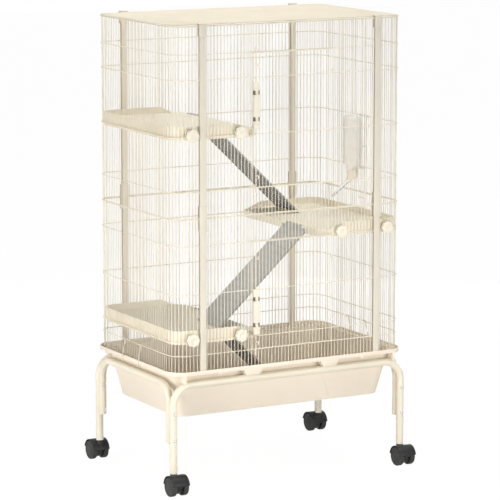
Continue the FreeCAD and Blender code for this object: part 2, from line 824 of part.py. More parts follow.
platform_drop = 8.0         # from a rail's middle down to the foot of the platform behind it
platform_height = 39.0
platform_dish = 19.0
lip_fall_start = 80.0       # from the free edge to where the lip begins to fall
lip_fall_end = 25.0         # and to where it has met the floor's level
platform_wall = 2.5
platform_corner_radius = 41.0
platform_wall_gap = 3.0     # to the side wall
platform_edge_x = 98.0            # free edge of each platform
platform_half_y = post_inner_face - rest_gap
platform_far_x = wall_half_x - wire - platform_wall_gap
boss_width = 14.0
boss_into_floor = 1.0
boss_length = 18.0
knob_rise = 5.5                   # knob's centre above the rail's
knob_dia = 37.0
knob_depth = 13.0
knob_lobe_count = 8
knob_lobe_share = 0.07            # of the knob's radius
knob_lobe_steps = 4
knob_stud_dia = 5.0
knob_stud_end_gap = 2.0
outer_knob_inset = 54.4           # from the side wall
left_knob_inset = 65.0            # from the left platforms' free edge
middle_knob_inset = 67.0          # from the middle platform's free edge
slot_clearance = 1.0              # round a ramp's hook in the floor's slot
ramp_hook_wall = 2.5
ramp_hook_width = 90.0            # clear of the platforms' round corners
ramp_hook_depth = 6.0
ramp_hook_play = 2.5              # lets the ramp lift on its hook


def between_wires(x):
    # The nearest place midway between two uprights of the front wall
    for places in (front_places, stub_places, [-place for place in stub_places[::-1]]):
        for first, second in zip(places[:-1], places[1:]):
            if min(first, second) <= x <= max(first, second):
                return (first + second) / 2
    raise ValueError("no wires there")


def platform(far_x, edge_x, level, knob_places, ramp_y):
    way = math.copysign(1, edge_x - far_x)
    half_x = abs(edge_x - far_x) / 2
    middle = (edge_x + far_x) / 2
    foot = level - platform_drop
    top = foot + platform_height
    floor_top = top - platform_dish
    floor_foot = floor_top - platform_wall

    radius = platform_corner_radius

    def ring(inset, z):
        return rounded_ring(half_x - inset, platform_half_y - inset, radius - inset, z, middle)

    body = ring_solid([ring(platform_wall, floor_foot), ring(platform_wall, foot),
                       ring(0, foot), ring(0, top),
                       ring(platform_wall, top), ring(platform_wall, floor_top)])
    fall = [(edge_x + way * overrun, floor_top), (edge_x - way * lip_fall_end, floor_top),
            (edge_x - way * lip_fall_start, top), (edge_x - way * lip_fall_start, top + overrun),
            (edge_x + way * overrun, top + overrun)]
    near_y = -platform_half_y - overrun
    body = body.cut(prism([V(x, near_y, z) for x, z in fall], V(0, -2 * near_y, 0)))
    slot_near = edge_x - way * platform_wall
    slot_far = slot_near - way * (ramp_hook_play + ramp_hook_wall + slot_clearance)
    slot_half = ramp_hook_width / 2 + slot_clearance
    body = body.cut(box(min(slot_near, slot_far), max(slot_near, slot_far), ramp_y - slot_half,
                        ramp_y + slot_half, floor_foot - overrun, floor_top + overrun))
    bosses = []
    for x in knob_places:
        bosses.append(box(x - boss_width / 2, x + boss_width / 2, -platform_half_y + platform_wall / 2,
                          -platform_half_y + boss_length, foot, floor_foot + boss_into_floor))
    body = fuse([body] + bosses)
    for x in knob_places:
        hole = knob_stud_dia / 2 + pin_clearance
        z = level + knob_rise
        body = body.cut(rod(hole, V(x, -platform_half_y - overrun, z),
                            V(x, -platform_half_y + boss_length + overrun, z)))
    return body


def knob(x, level):
    z = level + knob_rise
    back = -(rail_half_y + rest_gap)
    radius = knob_dia / 2
    points = []
    count = knob_lobe_count * knob_lobe_steps
    for step in range(count):
        turn = 2 * math.pi * step / count
        reach = radius * (1 - knob_lobe_share + knob_lobe_share * math.cos(knob_lobe_count * turn))
        points.append(V(x + reach * math.cos(turn), back, z + reach * math.sin(turn)))
    grip = prism(points, V(0, -knob_depth, 0))
    stud_end = -platform_half_y + boss_length - knob_stud_end_gap
    stud = rod(knob_stud_dia / 2, V(x, back - knob_depth / 2, z), V(x, stud_end, z))
    return fuse([grip, stud])


outer_knob_x = wall_half_x - outer_knob_inset
high_knobs = [between_wires(-outer_knob_x), between_wires(-platform_edge_x - left_knob_inset)]
middle_knobs = [between_wires(platform_edge_x + middle_knob_inset), between_wires(outer_knob_x)]


# Ramps: ribbed boards that hook into a slot by a platform's edge and stand on the floor below

ramp_width = 136.0
ramp_board = 4.0
ramp_rib_pitch = 24.0
ramp_rib_height = 2.0
ramp_rib_width = 5.0
high_ramp_share = 0.61      # of the platforms' half depth, to the ramp's middle
high_ramp_angle = 43.7
high_ramp_drop = 4.0        # from the platform's free edge to the top of the board
middle_ramp_share = -0.383
middle_ramp_angle = 42.1
middle_ramp_drop = 14.0
low_ramp_share = 0.471
low_ramp_angle = 43.7
low_ramp_drop = 8.0
high_ramp_y = high_ramp_share * platform_half_y
middle_ramp_y = middle_ramp_share * platform_half_y
low_ramp_y = low_ramp_share * platform_half_y


def ramp(edge_x, way, lip_z, drop, angle, floor_z, centre_y):
    # way is +1 where the ramp runs down to the right, -1 to the left
    turn = math.radians(angle)
    fall = math.tan(turn)
    start_x = rest_gap
    top_z = lip_z - drop
    along = (math.cos(turn), -math.sin(turn))
    normal = (math.sin(turn), math.cos(turn))
    foot_z = floor_z + rest_gap
    length = (top_z - foot_z - ramp_board * normal[1]) / math.sin(turn)
    points = []

    def add(distance, height):
        points.append((start_x + along[0] * distance + normal[0] * height,
                       top_z + along[1] * distance + normal[1] * height))

    ribs = int((length - ramp_rib_pitch / 2) / ramp_rib_pitch)
    for rib in range(ribs):
        centre = ramp_rib_pitch * (rib + 1)
        add(centre - ramp_rib_width / 2, 0)
        add(centre - ramp_rib_width / 4, ramp_rib_height)
        add(centre + ramp_rib_width / 4, ramp_rib_height)
        add(centre + ramp_rib_width / 2, 0)
    add(length, 0)
    add(length, -ramp_board)
    under_z = top_z - ramp_board / math.cos(turn)
    hook_top = lip_z + rest_gap + ramp_hook_wall
    hook_inside = -platform_wall - ramp_hook_play
    hook = [(start_x, under_z), (start_x, lip_z + rest_gap), (hook_inside, lip_z + rest_gap),
            (hook_inside, lip_z - ramp_hook_depth),
            (hook_inside - ramp_hook_wall, lip_z - ramp_hook_depth),
            (hook_inside - ramp_hook_wall, hook_top), (start_x + ramp_hook_wall, hook_top),
            (start_x + ramp_hook_wall, top_z - ramp_hook_wall * fall)]
    board = [(start_x, under_z), (start_x, top_z)]
    if drop > ramp_hook_depth:
        board = [(start_x, under_z), (start_x, lip_z - ramp_hook_depth),
                 (start_x + ramp_hook_wall, lip_z - ramp_hook_depth),
                 (start_x + ramp_hook_wall, top_z - ramp_hook_wall * fall)]
    pieces = []
    for outline, width in ((board + points, ramp_width), (hook, ramp_hook_width)):
        near_y = centre_y - width / 2
        pieces.append(prism([V(edge_x + way * x, near_y, z) for x, z in outline], V(0, width, 0)))
    return fuse(pieces)


# Tray clips: wire hooks that swing on the lowest side rails and catch under the tray's lip

clip_wire = 2.4
clip_front_y = -43.0
clip_rear_y = 58.0
clip_eye = 3.6             # half the eye's height and width
clip_bend_rise = 1.0       # above the lip, where the slanting leg turns down it
clip_lip_gap = 1.0         # under the lip, so that the hook can swing clear
clip_hook_reach = 5.0
clip_tab_drop = 8.0
clip_tab_reach = 6.5


def tray_clip(side, wanted_y):
    y = between(side_places, wanted_y) - clip_wire / 2
    pivot_x = wall_half_x + rail_wire / 2
    near = tray_rim_half_x + rest_gap
    far = near + clip_wire
    hook_top = tray_rim_foot - clip_lip_gap
    hook_foot = hook_top - clip_wire
    inner = near - clip_hook_reach
    tab_z = hook_top - clip_tab_drop
    bend_z = tray_rim_top + clip_bend_rise
    outline = [(pivot_x - clip_eye, level_clip + clip_eye), (pivot_x + clip_eye, level_clip + clip_eye),
               (pivot_x + clip_eye, level_clip - clip_eye), (far, bend_z), (far, hook_foot),
               (inner + clip_wire, hook_foot), (inner + clip_wire, tab_z + clip_wire),
               (inner + clip_tab_reach, tab_z + clip_wire), (inner + clip_tab_reach, tab_z),
               (inner, tab_z), (inner, hook_top), (near, hook_top), (near, bend_z),
               (pivot_x + clip_eye - clip_wire, level_clip - clip_eye),
               (pivot_x - clip_eye, level_clip - clip_eye)]
    leg = prism([V(side * x, y, z) for x, z in outline], V(0, clip_wire, 0))
    hole_radius = rail_wire / math.sqrt(2) + pin_clearance
    start = V(side * pivot_x, y - overrun, level_clip)
    return leg.cut(rod(hole_radius, start, start + V(0, clip_wire + overrun + overrun, 0)))


# Water bottle on the right-hand wall, inside the cage, above the middle platform

bottle_inset = 37.9         # from the wall to the bottle's axis
bottle_front_y = -27.5
bottle_x = wall_half_x - bottle_inset
bottle_y = between(side_places, bottle_front_y)
bottle_dia = 60.0
bottle_wall = 1.6
bottle_rise = 120.5         # from the middle platform's rail to the cap's foot
bottle_mouth_rise = 16.0    # heights on the bottle, from the cap's foot
bottle_neck_rise = 29.0
bottle_shoulder_rise = 48.0
bottle_top_rise = 191.0
bottle_foot_z = level_middle_platform + bottle_rise
bottle_mouth_z = bottle_foot_z + bottle_mouth_rise
bottle_neck_z = bottle_foot_z + bottle_neck_rise
bottle_shoulder_z = bottle_foot_z + bottle_shoulder_rise
bottle_top_z = bottle_foot_z + bottle_top_rise
bottle_neck_dia = 27.0
bottle_dome = 8.0
bottle_dome_dia = 44.0
cap_dia = 32.0
cap_skirt = 27.0
cap_plate = 8.0
spout_dia = 8.0
spout_wall = 1.0
spout_angle = 36.0
spout_rise = 4.0            # of its axis at the bottle's, above the cap's foot
spout_length = 87.0
ball_dia = 5.4
ball_inset = 3.5
ball_latitudes = (-60, -20, 20, 60)   # degrees, of the rings that the ball is drawn with


def turned(outline):
    # A body about the bottle's upright axis, from (radius, height) pairs
    axis = [(radius, V(bottle_x, bottle_y, z)) for radius, z in outline]
    return ring_solid([round_ring(radius, centre, UP, bottle_flat_count) for radius, centre in axis])


def water_bottle():
    outer = bottle_dia / 2
    inner = outer - bottle_wall
    neck = bottle_neck_dia / 2
    neck_bore = neck - bottle_wall
    dome = bottle_dome_dia / 2
    return turned([(dome, bottle_top_z), (outer, bottle_top_z - bottle_dome), (outer, bottle_shoulder_z),
                   (neck, bottle_neck_z), (neck, bottle_mouth_z), (neck_bore, bottle_mouth_z),
                   (neck_bore, bottle_neck_z), (inner, bottle_shoulder_z),
                   (inner, bottle_top_z - bottle_dome), (dome, bottle_top_z - bottle_wall)])


spout_way = V(-math.cos(math.radians(spout_angle)), 0, -math.sin(math.radians(spout_angle)))
spout_start = V(bottle_x, bottle_y, bottle_foot_z + spout_rise)


def bottle_cap():
    outer = cap_dia / 2
    bore = bottle_neck_dia / 2 + touch_gap
    skirt_top = bottle_foot_z + cap_skirt
    body = turned([(outer, bottle_foot_z), (outer, skirt_top), (bore, skirt_top),
                   (bore, bottle_foot_z + cap_plate)])
    passage = flat_rod(spout_dia / 2 + touch_gap / 2, spout_start, spout_start + spout_way * spout_length,
                       stock_flat_count)
    return body.cut(passage)


def bottle_spout():
    end = spout_start + spout_way * spout_length
    begin = spout_start + spout_way * (spout_dia / 2)
    tube = flat_rod(spout_dia / 2, begin, end, stock_flat_count)
    tube = tube.cut(flat_rod(spout_dia / 2 - spout_wall, begin - spout_way * overrun,
                             end + spout_way * overrun, stock_flat_count))
    centre = end - spout_way * ball_inset
    rings = []
    for angle in ball_latitudes:
        turn = math.radians(angle)
        middle = centre + spout_way * (ball_dia / 2 * math.sin(turn))
        rings.append(round_ring(ball_dia / 2 * math.cos(turn), middle, spout_way, bolt_flat_count))
    return [tube, ring_solid(rings)]


# Bottle holder: two wire hangers hooked over a side rail, with a ring and two arms for the bottle

holder_wire = 2.4
holder_gap_steps = 2         # from the bottle's middle to each hanger, in gaps between uprights
holder_foot_drop = 62.0      # from the cap's foot to the holder's
holder_ring_rise = 96.0      # from the cap's foot to the ring
holder_foot_z = bottle_foot_z - holder_foot_drop
holder_ring_z = bottle_foot_z + holder_ring_rise
holder_ring_dia = 61.2
holder_ring_flats = 12
holder_hook_drop = 9.0
holder_arm_clearance = 0.5   # between the arms and the bottle's cap
holder_back_x = wall_half_x - wire - rest_gap
holder_front_x = holder_back_x - holder_wire


def holder_hanger(y):
    # From the foot up, over the rail between two uprights, and down outside it
    near = y - holder_wire / 2
    far = y + holder_wire / 2
    over_z = level_high_platform + rail_wire / 2 + rest_gap
    outside_x = rail_half_x + rest_gap
    top_z = over_z + holder_wire
    return [box(holder_front_x, holder_back_x, near, far, holder_foot_z, over_z),
            box(holder_front_x, outside_x, near, far, over_z, top_z),
            box(outside_x, outside_x + holder_wire, near, far, over_z - holder_hook_drop, top_z)]


def holder_crossbar(z):
    reach = side_pitch * holder_gap_steps - holder_wire / 2
    return box(holder_front_x, holder_back_x, bottle_y - reach, bottle_y + reach,
               z - holder_wire, z)


def holder_ring():
    # A level ring round the bottle, flat by flat
    centre = V(bottle_x, bottle_y, holder_ring_z - holder_wire / 2)
    inner = round_ring(holder_ring_dia / 2, centre, UP, holder_ring_flats)
    outer = round_ring(holder_ring_dia / 2 + holder_wire, centre, UP, holder_ring_flats)
    flats = []
    for step in range(holder_ring_flats):
        after = (step + 1) % holder_ring_flats
        flats.append(prism([inner[step], inner[after], outer[after], outer[step]], V(0, 0, holder_wire)))
    return flats


def bottle_holder():
    pieces = holder_ring()
    arm_y = cap_dia / 2 + holder_arm_clearance
    slope = (bottle_shoulder_z - bottle_neck_z) / ((bottle_dia - bottle_neck_dia) / 2)
    arm_top = bottle_neck_z + (arm_y - bottle_neck_dia / 2) * slope - rest_gap
    ring_half = holder_wire / 2
    for sign in (-1, 1):
        y = bottle_y + sign * side_pitch * holder_gap_steps
        pieces += holder_hanger(y)
        near = bottle_y + sign * arm_y
        far = near + sign * holder_wire
        pieces.append(box(bottle_x - arm_y, holder_front_x, min(near, far), max(near, far),
                          arm_top - holder_wire, arm_top))
    pieces.append(holder_crossbar(arm_top))
    pieces.append(holder_crossbar(holder_foot_z + holder_wire))
    pieces.append(holder_crossbar(holder_ring_z + ring_half))
    return pieces


# Build

def build():
    nodes = {}
    nodes["front_leg_frame"] = leg_frame(-leg_half_y)
    nodes["rear_leg_frame"] = leg_frame(leg_half_y)
    nodes["left_side_tube"] = side_tube(-leg_half_x)
    nodes["right_side_tube"] = side_tube(leg_half_x)
    nodes["frame_bolts"] = frame_bolts()
    nodes["leg_plugs"] = leg_plugs()
    for row, y in (("front", -leg_half_y), ("rear", leg_half_y)):
        for column, x in (("left", -leg_half_x), ("right", leg_half_x)):
            outward = -1 if row == "front" else 1
            nodes[f"{row}_{column}_caster_hood"] = caster_hood(x, y, outward)
            nodes[f"{row}_{column}_caster_wheels"] = caster_wheels(x, y, outward)
    nodes["base_tray"] = base_tray()
    for tier, span, levels in (("lower", lower_span, lower_levels), ("upper", upper_span, upper_levels)):
        nodes[f"{tier}_left_panel"] = side_panel(-1, *span, levels)
        nodes[f"{tier}_right_panel"] = side_panel(1, *span, levels)
        nodes[f"{tier}_rear_panel"] = rear_panel(*span, levels)
    nodes["lower_front_panel"] = front_panel(*lower_span, level_clip, level_middle_platform, lower_levels)
    nodes["upper_front_panel"] = front_panel(*upper_span, level_upper_first, level_door_top, upper_levels)
    nodes["top_panel"] = top_panel()
    nodes["lower_posts"] = posts(post_foot_z, level_seam - post_split_gap / 2)
    nodes["upper_posts"] = posts(level_seam + post_split_gap / 2, post_top_z)
    nodes["post_sleeves"] = post_sleeves()
    nodes["post_caps"] = post_caps()
    nodes["lower_door"] = door_leaf(level_clip, level_middle_platform, lower_levels)
    nodes["upper_door"] = door_leaf(level_upper_first, level_door_top, upper_levels)
    nodes["lower_latch_housing"] = latch_housing(latch_lower_z)
    nodes["upper_latch_housing"] = latch_housing(latch_upper_z)
    nodes["lower_latch_top_bolt"] = latch_bolt(latch_lower_z, level_middle_platform, lower_top_finger_z)
    nodes["lower_latch_bottom_bolt"] = latch_bolt(latch_lower_z, level_clip, lower_bottom_finger_z)
    nodes["upper_latch_top_bolt"] = latch_bolt(latch_upper_z, level_door_top, upper_top_finger_z)
    nodes["upper_latch_bottom_bolt"] = latch_bolt(latch_upper_z, level_upper_first, upper_bottom_finger_z)
    left_edges = (-platform_far_x, -platform_edge_x)
    right_edges = (platform_far_x, platform_edge_x)
    nodes["high_platform"] = platform(*left_edges, level_high_platform, high_knobs, high_ramp_y)
    nodes["middle_platform"] = platform(*right_edges, level_middle_platform, middle_knobs, middle_ramp_y)
    nodes["low_platform"] = platform(*left_edges, level_low_platform, high_knobs, low_ramp_y)
    for name, places, level in (("high", high_knobs, level_high_platform),
                               ("middle", middle_knobs, level_middle_platform),
                               ("low", high_knobs, level_low_platform)):
        for column, x in zip(("left", "right"), places):
            nodes[f"{name}_platform_{column}_knob"] = knob(x, level)
    floor_rise = platform_height - platform_dish - platform_drop
    high_edge = level_high_platform + floor_rise
    middle_edge = level_middle_platform + floor_rise
    low_edge = level_low_platform + floor_rise
    nodes["high_ramp"] = ramp(-platform_edge_x, 1, high_edge, high_ramp_drop, high_ramp_angle, middle_edge,
                              high_ramp_y)
    nodes["middle_ramp"] = ramp(platform_edge_x, -1, middle_edge, middle_ramp_drop, middle_ramp_angle, low_edge,
                                middle_ramp_y)
    nodes["low_ramp"] = ramp(-platform_edge_x, 1, low_edge, low_ramp_drop, low_ramp_angle,
                             tray_floor_z + tray_wall, low_ramp_y)
    for column, side in (("left", -1), ("right", 1)):
        nodes[f"{column}_front_tray_clip"] = tray_clip(side, clip_front_y)
        nodes[f"{column}_rear_tray_clip"] = tray_clip(side, clip_rear_y)
    nodes["water_bottle"] = water_bottle()
    nodes["bottle_cap"] = bottle_cap()
    nodes["bottle_spout"] = bottle_spout()
    nodes["bottle_holder"] = bottle_holder()
    return nodes


os.makedirs(OUT, exist_ok=True)
for name, made in build().items():
    solids = made if isinstance(made, list) else [made]
    shape = Part.makeCompound(solids) if len(solids) > 1 else solids[0]
    shape.exportStep(os.path.join(OUT, name + ".step"))
    volume = sum(solid.Volume for solid in shape.Solids)
    print(f"{name}: {len(shape.Solids)} solids, {volume / 1000:.1f} cm3, valid {shape.isValid()}")
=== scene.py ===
from math import cos, pi, radians, sin, sqrt, tan
import bmesh
import bpy
from mathutils import Matrix, Vector


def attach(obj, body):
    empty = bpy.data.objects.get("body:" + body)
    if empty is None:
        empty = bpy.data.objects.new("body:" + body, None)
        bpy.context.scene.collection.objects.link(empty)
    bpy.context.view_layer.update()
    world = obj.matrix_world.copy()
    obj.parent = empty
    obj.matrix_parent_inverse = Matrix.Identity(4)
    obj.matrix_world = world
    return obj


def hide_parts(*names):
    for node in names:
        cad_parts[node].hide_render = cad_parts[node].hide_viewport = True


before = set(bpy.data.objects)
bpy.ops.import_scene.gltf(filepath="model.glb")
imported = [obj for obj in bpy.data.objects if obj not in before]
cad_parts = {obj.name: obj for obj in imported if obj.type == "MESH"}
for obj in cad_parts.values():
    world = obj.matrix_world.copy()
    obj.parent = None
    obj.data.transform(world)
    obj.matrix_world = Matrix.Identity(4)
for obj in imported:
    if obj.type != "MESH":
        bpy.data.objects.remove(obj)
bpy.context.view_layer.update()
print("frame loaded")

mm = 0.001  # pieces are drawn in millimetres and brought to metres when they are finished


# Small helpers for modelling

def pick(*pieces):
    bpy.ops.object.select_all(action="DESELECT")
    for piece in pieces:
        piece.select_set(True)
    bpy.context.view_layer.objects.active = pieces[0]


def applyPlace(piece):
    pick(piece)
    bpy.ops.object.transform_apply(location=True, rotation=True, scale=True)
    return piece


def newShape(operator, **settings):
    operator(**settings)
    return applyPlace(bpy.context.object)


def startEdit(piece):
    pick(piece)
    bpy.ops.object.mode_set(mode="EDIT")
    bpy.ops.mesh.select_mode(type="VERT")
    bpy.ops.mesh.select_all(action="SELECT")


def endEdit():
    bpy.ops.mesh.select_all(action="SELECT")
    bpy.ops.mesh.normals_make_consistent(inside=False)
    bpy.ops.object.mode_set(mode="OBJECT")


def faceOutward(piece):
    startEdit(piece)
    endEdit()
    return piece


def selectOnly(kind, test):
    # In edit mode, selects the vertices ("VERT") or faces ("FACE") that pass the test
    bpy.ops.mesh.select_mode(type=kind)
    bpy.ops.mesh.select_all(action="DESELECT")
    shape = bmesh.from_edit_mesh(bpy.context.object.data)
    for item in shape.verts if kind == "VERT" else shape.faces:
        if test(item):
            item.select_set(True)
    bmesh.update_edit_mesh(bpy.context.object.data)


def extrudeBy(step):
    bpy.ops.mesh.extrude_region_move(TRANSFORM_OT_translate={"value": tuple(step)})


def closeEnds(closed):
    # Welds the last ring to the first, or fills both ends
    bpy.ops.mesh.select_all(action="SELECT")
    if closed:
        bpy.ops.mesh.remove_doubles(threshold=0.01)
    else:
        bpy.ops.mesh.fill_holes(sides=0)
    endEdit()


def useModifier(piece, kind, **settings):
    pick(piece)
    modifier = piece.modifiers.new(kind.title(), kind)
    for key, value in settings.items():
        setattr(modifier, key, value)
    bpy.ops.object.modifier_apply(modifier=modifier.name)
    return piece


def soften(piece, width, segments=2, angle=35):
    return useModifier(piece, "BEVEL", width=width, segments=segments, limit_method="ANGLE",
                       angle_limit=radians(angle), use_clamp_overlap=True)


def repeat(piece, count, step):
    return useModifier(piece, "ARRAY", count=count, use_relative_offset=False,
                       use_constant_offset=True, constant_offset_displace=step)


def cutAway(piece, cutter):
    useModifier(piece, "BOOLEAN", operation="DIFFERENCE", solver="EXACT", object=cutter)
    bpy.data.objects.remove(cutter)
    return piece


def placed(piece, matrix):
    piece.matrix_world = matrix
    return applyPlace(piece)


def moved(piece, move=(0, 0, 0), turn=0, about=(0, 0, 0)):
    # Turned about an upright line through a point and then moved
    pivot = Vector(about)
    place = Matrix.Translation(Vector(move) + pivot) @ Matrix.Rotation(radians(turn), 4, "Z")
    return placed(piece, place @ Matrix.Translation(-pivot))


def standOn(piece, start, way):
    # Turns a body made along Z to run along a direction from a start point
    turning = Vector(way).to_track_quat("Z", "Y").to_matrix().to_4x4()
    return placed(piece, Matrix.Translation(Vector(start)) @ turning)


def copyOf(piece, move=(0, 0, 0), turn=0, about=(0, 0, 0)):
    # A twin with its own mesh
    pick(piece)
    bpy.ops.object.duplicate()
    return moved(bpy.context.object, move, turn, about)


def copies(piece, moves=((0, 0, 0),), turns=(0,), about=(0, 0, 0)):
    # A twin for each turn and move, in place of the piece itself
    made = [copyOf(piece, move, turn, about) for turn in turns for move in moves]
    bpy.data.objects.remove(piece)
    return made


def mirrored(piece):
    # A twin on the other side, left to right
    twin = copyOf(piece)
    twin.scale = (-1, 1, 1)
    return faceOutward(applyPlace(twin))


def joined(*pieces):
    if len(pieces) > 1:
        pick(*pieces)
        bpy.ops.object.join()
    return pieces[0]


def bentBar(path, radius, bend=0, sides=10, steps=5, closed=False):
    # A round bar along a path, extruded on the straights and spun round each corner
    points = [Vector(point) for point in path]
    ways = [(after - before).normalized() for before, after in zip(points, points[1:])]
    bar = newShape(bpy.ops.mesh.primitive_circle_add, vertices=sides, radius=radius, location=points[0],
                   rotation=ways[0].to_track_quat("Z", "Y").to_euler())
    startEdit(bar)
    here = points[0]
    for corner, way, after in zip(points[1:], ways, ways[1:] + [None]):
        if after is None:
            extrudeBy(corner - here)
            continue
        turn = way.angle(after)
        trim = bend * tan(turn / 2)
        stop = corner - way * trim
        if (stop - here).length > 0.01:
            extrudeBy(stop - here)
        inward = (after - way * after.dot(way)).normalized()
        bpy.ops.mesh.spin(steps=steps, angle=-turn, center=stop + inward * bend,
                          axis=way.cross(after).normalized())
        here = corner + after * trim
    closeEnds(closed)
    return bar


def slab(x0, x1, y0, y1, z0, z1, edge=0, segments=2):
    piece = newShape(bpy.ops.mesh.primitive_cube_add, size=1,
                     location=((x0 + x1) / 2, (y0 + y1) / 2, (z0 + z1) / 2),
                     scale=(abs(x1 - x0), abs(y1 - y0), abs(z1 - z0)))
    if edge:
        startEdit(piece)
        bpy.ops.mesh.bevel(offset=edge, segments=segments, affect="EDGES")
        endEdit()
    return piece


def outlinePrism(points, depth, edge=0):
    # An outline drawn by extruding one vertex, filled, and given its depth
    piece = newShape(bpy.ops.mesh.primitive_plane_add, size=1, location=points[0])
    startEdit(piece)
    bpy.ops.mesh.merge(type="CENTER")
    for before, after in zip(points, points[1:]):
        extrudeBy(Vector(after) - Vector(before))
    bpy.ops.mesh.select_all(action="SELECT")
    bpy.ops.mesh.edge_face_add()
    extrudeBy(depth)
    endEdit()
    return soften(piece, edge, angle=25) if edge else piece


def ringStack(rings, centreX=0):
    # Rounded rectangles (half x, half y, corner radius, height), each extruded from the last
    halfX, halfY, radius, z = rings[0]
    bpy.ops.mesh.primitive_plane_add(size=2, location=(centreX, 0, z))
    piece = bpy.context.object
    piece.scale = (halfX, halfY, 1)
    startEdit(applyPlace(piece))
    bpy.ops.mesh.bevel(offset=radius, segments=10, affect="VERTICES")
    for before, after in zip(rings, rings[1:]):
        # The many-sided face at the last height closes the stack so far
        selectOnly("FACE", lambda face: len(face.verts) > 4
                   and abs(face.calc_center_median().z - before[3]) < 0.01)
        extrudeBy((0, 0, after[3] - before[3]))
        moveCorners(before, after, centreX)
    endEdit()
    return piece


def moveCorners(before, after, centreX):
    # Gives the ring that was just extruded its new size and corner radius
    shape = bmesh.from_edit_mesh(bpy.context.object.data)
    chosen = {vert.index for vert in shape.verts if vert.select}
    for signX in (-1, 1):
        for signY in (-1, 1):
            selectOnly("VERT", lambda vert: vert.index in chosen and (vert.co.x - centreX) * signX > 0
                       and vert.co.y * signY > 0)
            old, new = (Vector((centreX + signX * (halfX - radius), signY * (halfY - radius), after[3]))
                        for halfX, halfY, radius, z in (before, after))
            if abs(after[2] - before[2]) > 1e-6:
                grow = after[2] / before[2]
                bpy.ops.transform.resize(value=(grow, grow, 1), center_override=old)
            bpy.ops.transform.translate(value=new - old)


def turned(profile, sides=32, closed=False):
    # A body turned about the Z axis from (radius, height) pairs
    radius, z = profile[0]
    piece = newShape(bpy.ops.mesh.primitive_circle_add, vertices=sides, radius=radius, location=(0, 0, z))
    startEdit(piece)
    path = profile + profile[:1] if closed else profile
    for (oldRadius, oldZ), (newRadius, newZ) in zip(path, path[1:]):
        extrudeBy((0, 0, newZ - oldZ))
        grow = newRadius / oldRadius
        bpy.ops.transform.resize(value=(grow, grow, 1), center_override=(0, 0, newZ))
    closeEnds(closed)
    return piece


def finishPiece(piece, name, look, body, *nodes, smooth=40):
    # look is a material with its slot; nodes are the solids that the piece stands for
    piece.scale = (mm, mm, mm)
    applyPlace(piece)
    material, slotName = look
    piece.data.materials.clear()
    piece.data.materials.append(material)
    bpy.ops.object.shade_smooth_by_angle(angle=radians(smooth))
    piece.name = name
    piece.data.name = name
    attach(piece, body)
    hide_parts(*nodes)


# Materials

def newMaterial(name):
    material = bpy.data.materials.new(name)
    material.use_nodes = True
    return material, material.node_tree.nodes["Principled BSDF"]


def setInputs(node, values):
    for entry, value in values.items():
        node.inputs[entry].default_value = value


def addNode(owner, kind, values=None):
    # owner is the node tree, or a node or socket in it
    node = owner.id_data.nodes.new("ShaderNode" + kind)
    setInputs(node, values or {})
    return node


def link(start, end):
    end.id_data.links.new(start, end)


def noiseOn(owner, scale, detail=3, stretch=(1, 1, 1)):
    mapping = addNode(owner, "Mapping", {"Scale": stretch})
    noise = addNode(owner, "TexNoise", {"Scale": scale, "Detail": detail})
    link(addNode(owner, "TexCoord").outputs["Object"], mapping.inputs["Vector"])
    link(mapping.outputs["Vector"], noise.inputs["Vector"])
    return noise.outputs["Fac"]


def rampInto(entry, source, first, second, low=0.35, high=0.65):
    # A colour ramp, grey where the ends are single numbers, from a noise into an input
    ramp = addNode(entry, "ValToRGB")
    for element, place, value in zip(ramp.color_ramp.elements, (low, high), (first, second)):
        element.position = place
        element.color = (*value, 1) if isinstance(value, tuple) else (value, value, value, 1)
    link(source, ramp.inputs["Fac"])
    link(ramp.outputs["Color"], entry)


def addBump(shader, height, strength, distance):
    bump = addNode(shader, "Bump", {"Strength": strength, "Distance": distance})
    link(height, bump.inputs["Height"])
    link(bump.outputs["Normal"], shader.inputs["Normal"])


def coatedMetal(name, pale, dark, cloudScale, smooth, rough, peelScale, peelStrength, coat):
    # Baked powder coating: a faint orange peel and slightly uneven gloss
    material, shader = newMaterial(name)
    cloud = noiseOn(shader, cloudScale)
    rampInto(shader.inputs["Base Color"], cloud, dark, pale)
    rampInto(shader.inputs["Roughness"], cloud, smooth, rough)
    addBump(shader, noiseOn(shader, peelScale, 2), peelStrength, 0.0004)
    setInputs(shader, {"Specular IOR Level": 0.5, "Coat Weight": coat, "Coat Roughness": 0.25})
    return material, "cream_metal"


plasticFinish = dict(
    cloudScale=7, scuffScale=30, scuffStretch=(1, 1, 1), scuffShare=0.35, smooth=0.42, rough=0.6,
    grainScale=1600, grainStrength=0.14, specular=0.45)


def mouldedPlastic(name, slotName, pale, dark, worn, **changes):
    # Moulded plastic: soft mottling, a fine spark-eroded grain, and worn, paler patches
    finish = {**plasticFinish, **changes}
    material, shader = newMaterial(name)
    blend = addNode(shader, "Mix")
    blend.data_type = "RGBA"
    blend.inputs["B"].default_value = (*worn, 1)
    scuff = noiseOn(shader, finish["scuffScale"], 6, finish["scuffStretch"])
    rampInto(blend.inputs["Factor"], scuff, 0, finish["scuffShare"], 0.62, 0.78)
    rampInto(blend.inputs["A"], noiseOn(shader, finish["cloudScale"], 4), dark, pale)
    link(blend.outputs["Result"], shader.inputs["Base Color"])
    rampInto(shader.inputs["Roughness"], scuff, finish["smooth"], finish["rough"])
    addBump(shader, noiseOn(shader, finish["grainScale"], 2), finish["grainStrength"], 0.0003)
    setInputs(shader, {"Specular IOR Level": finish["specular"]})
    return material, slotName


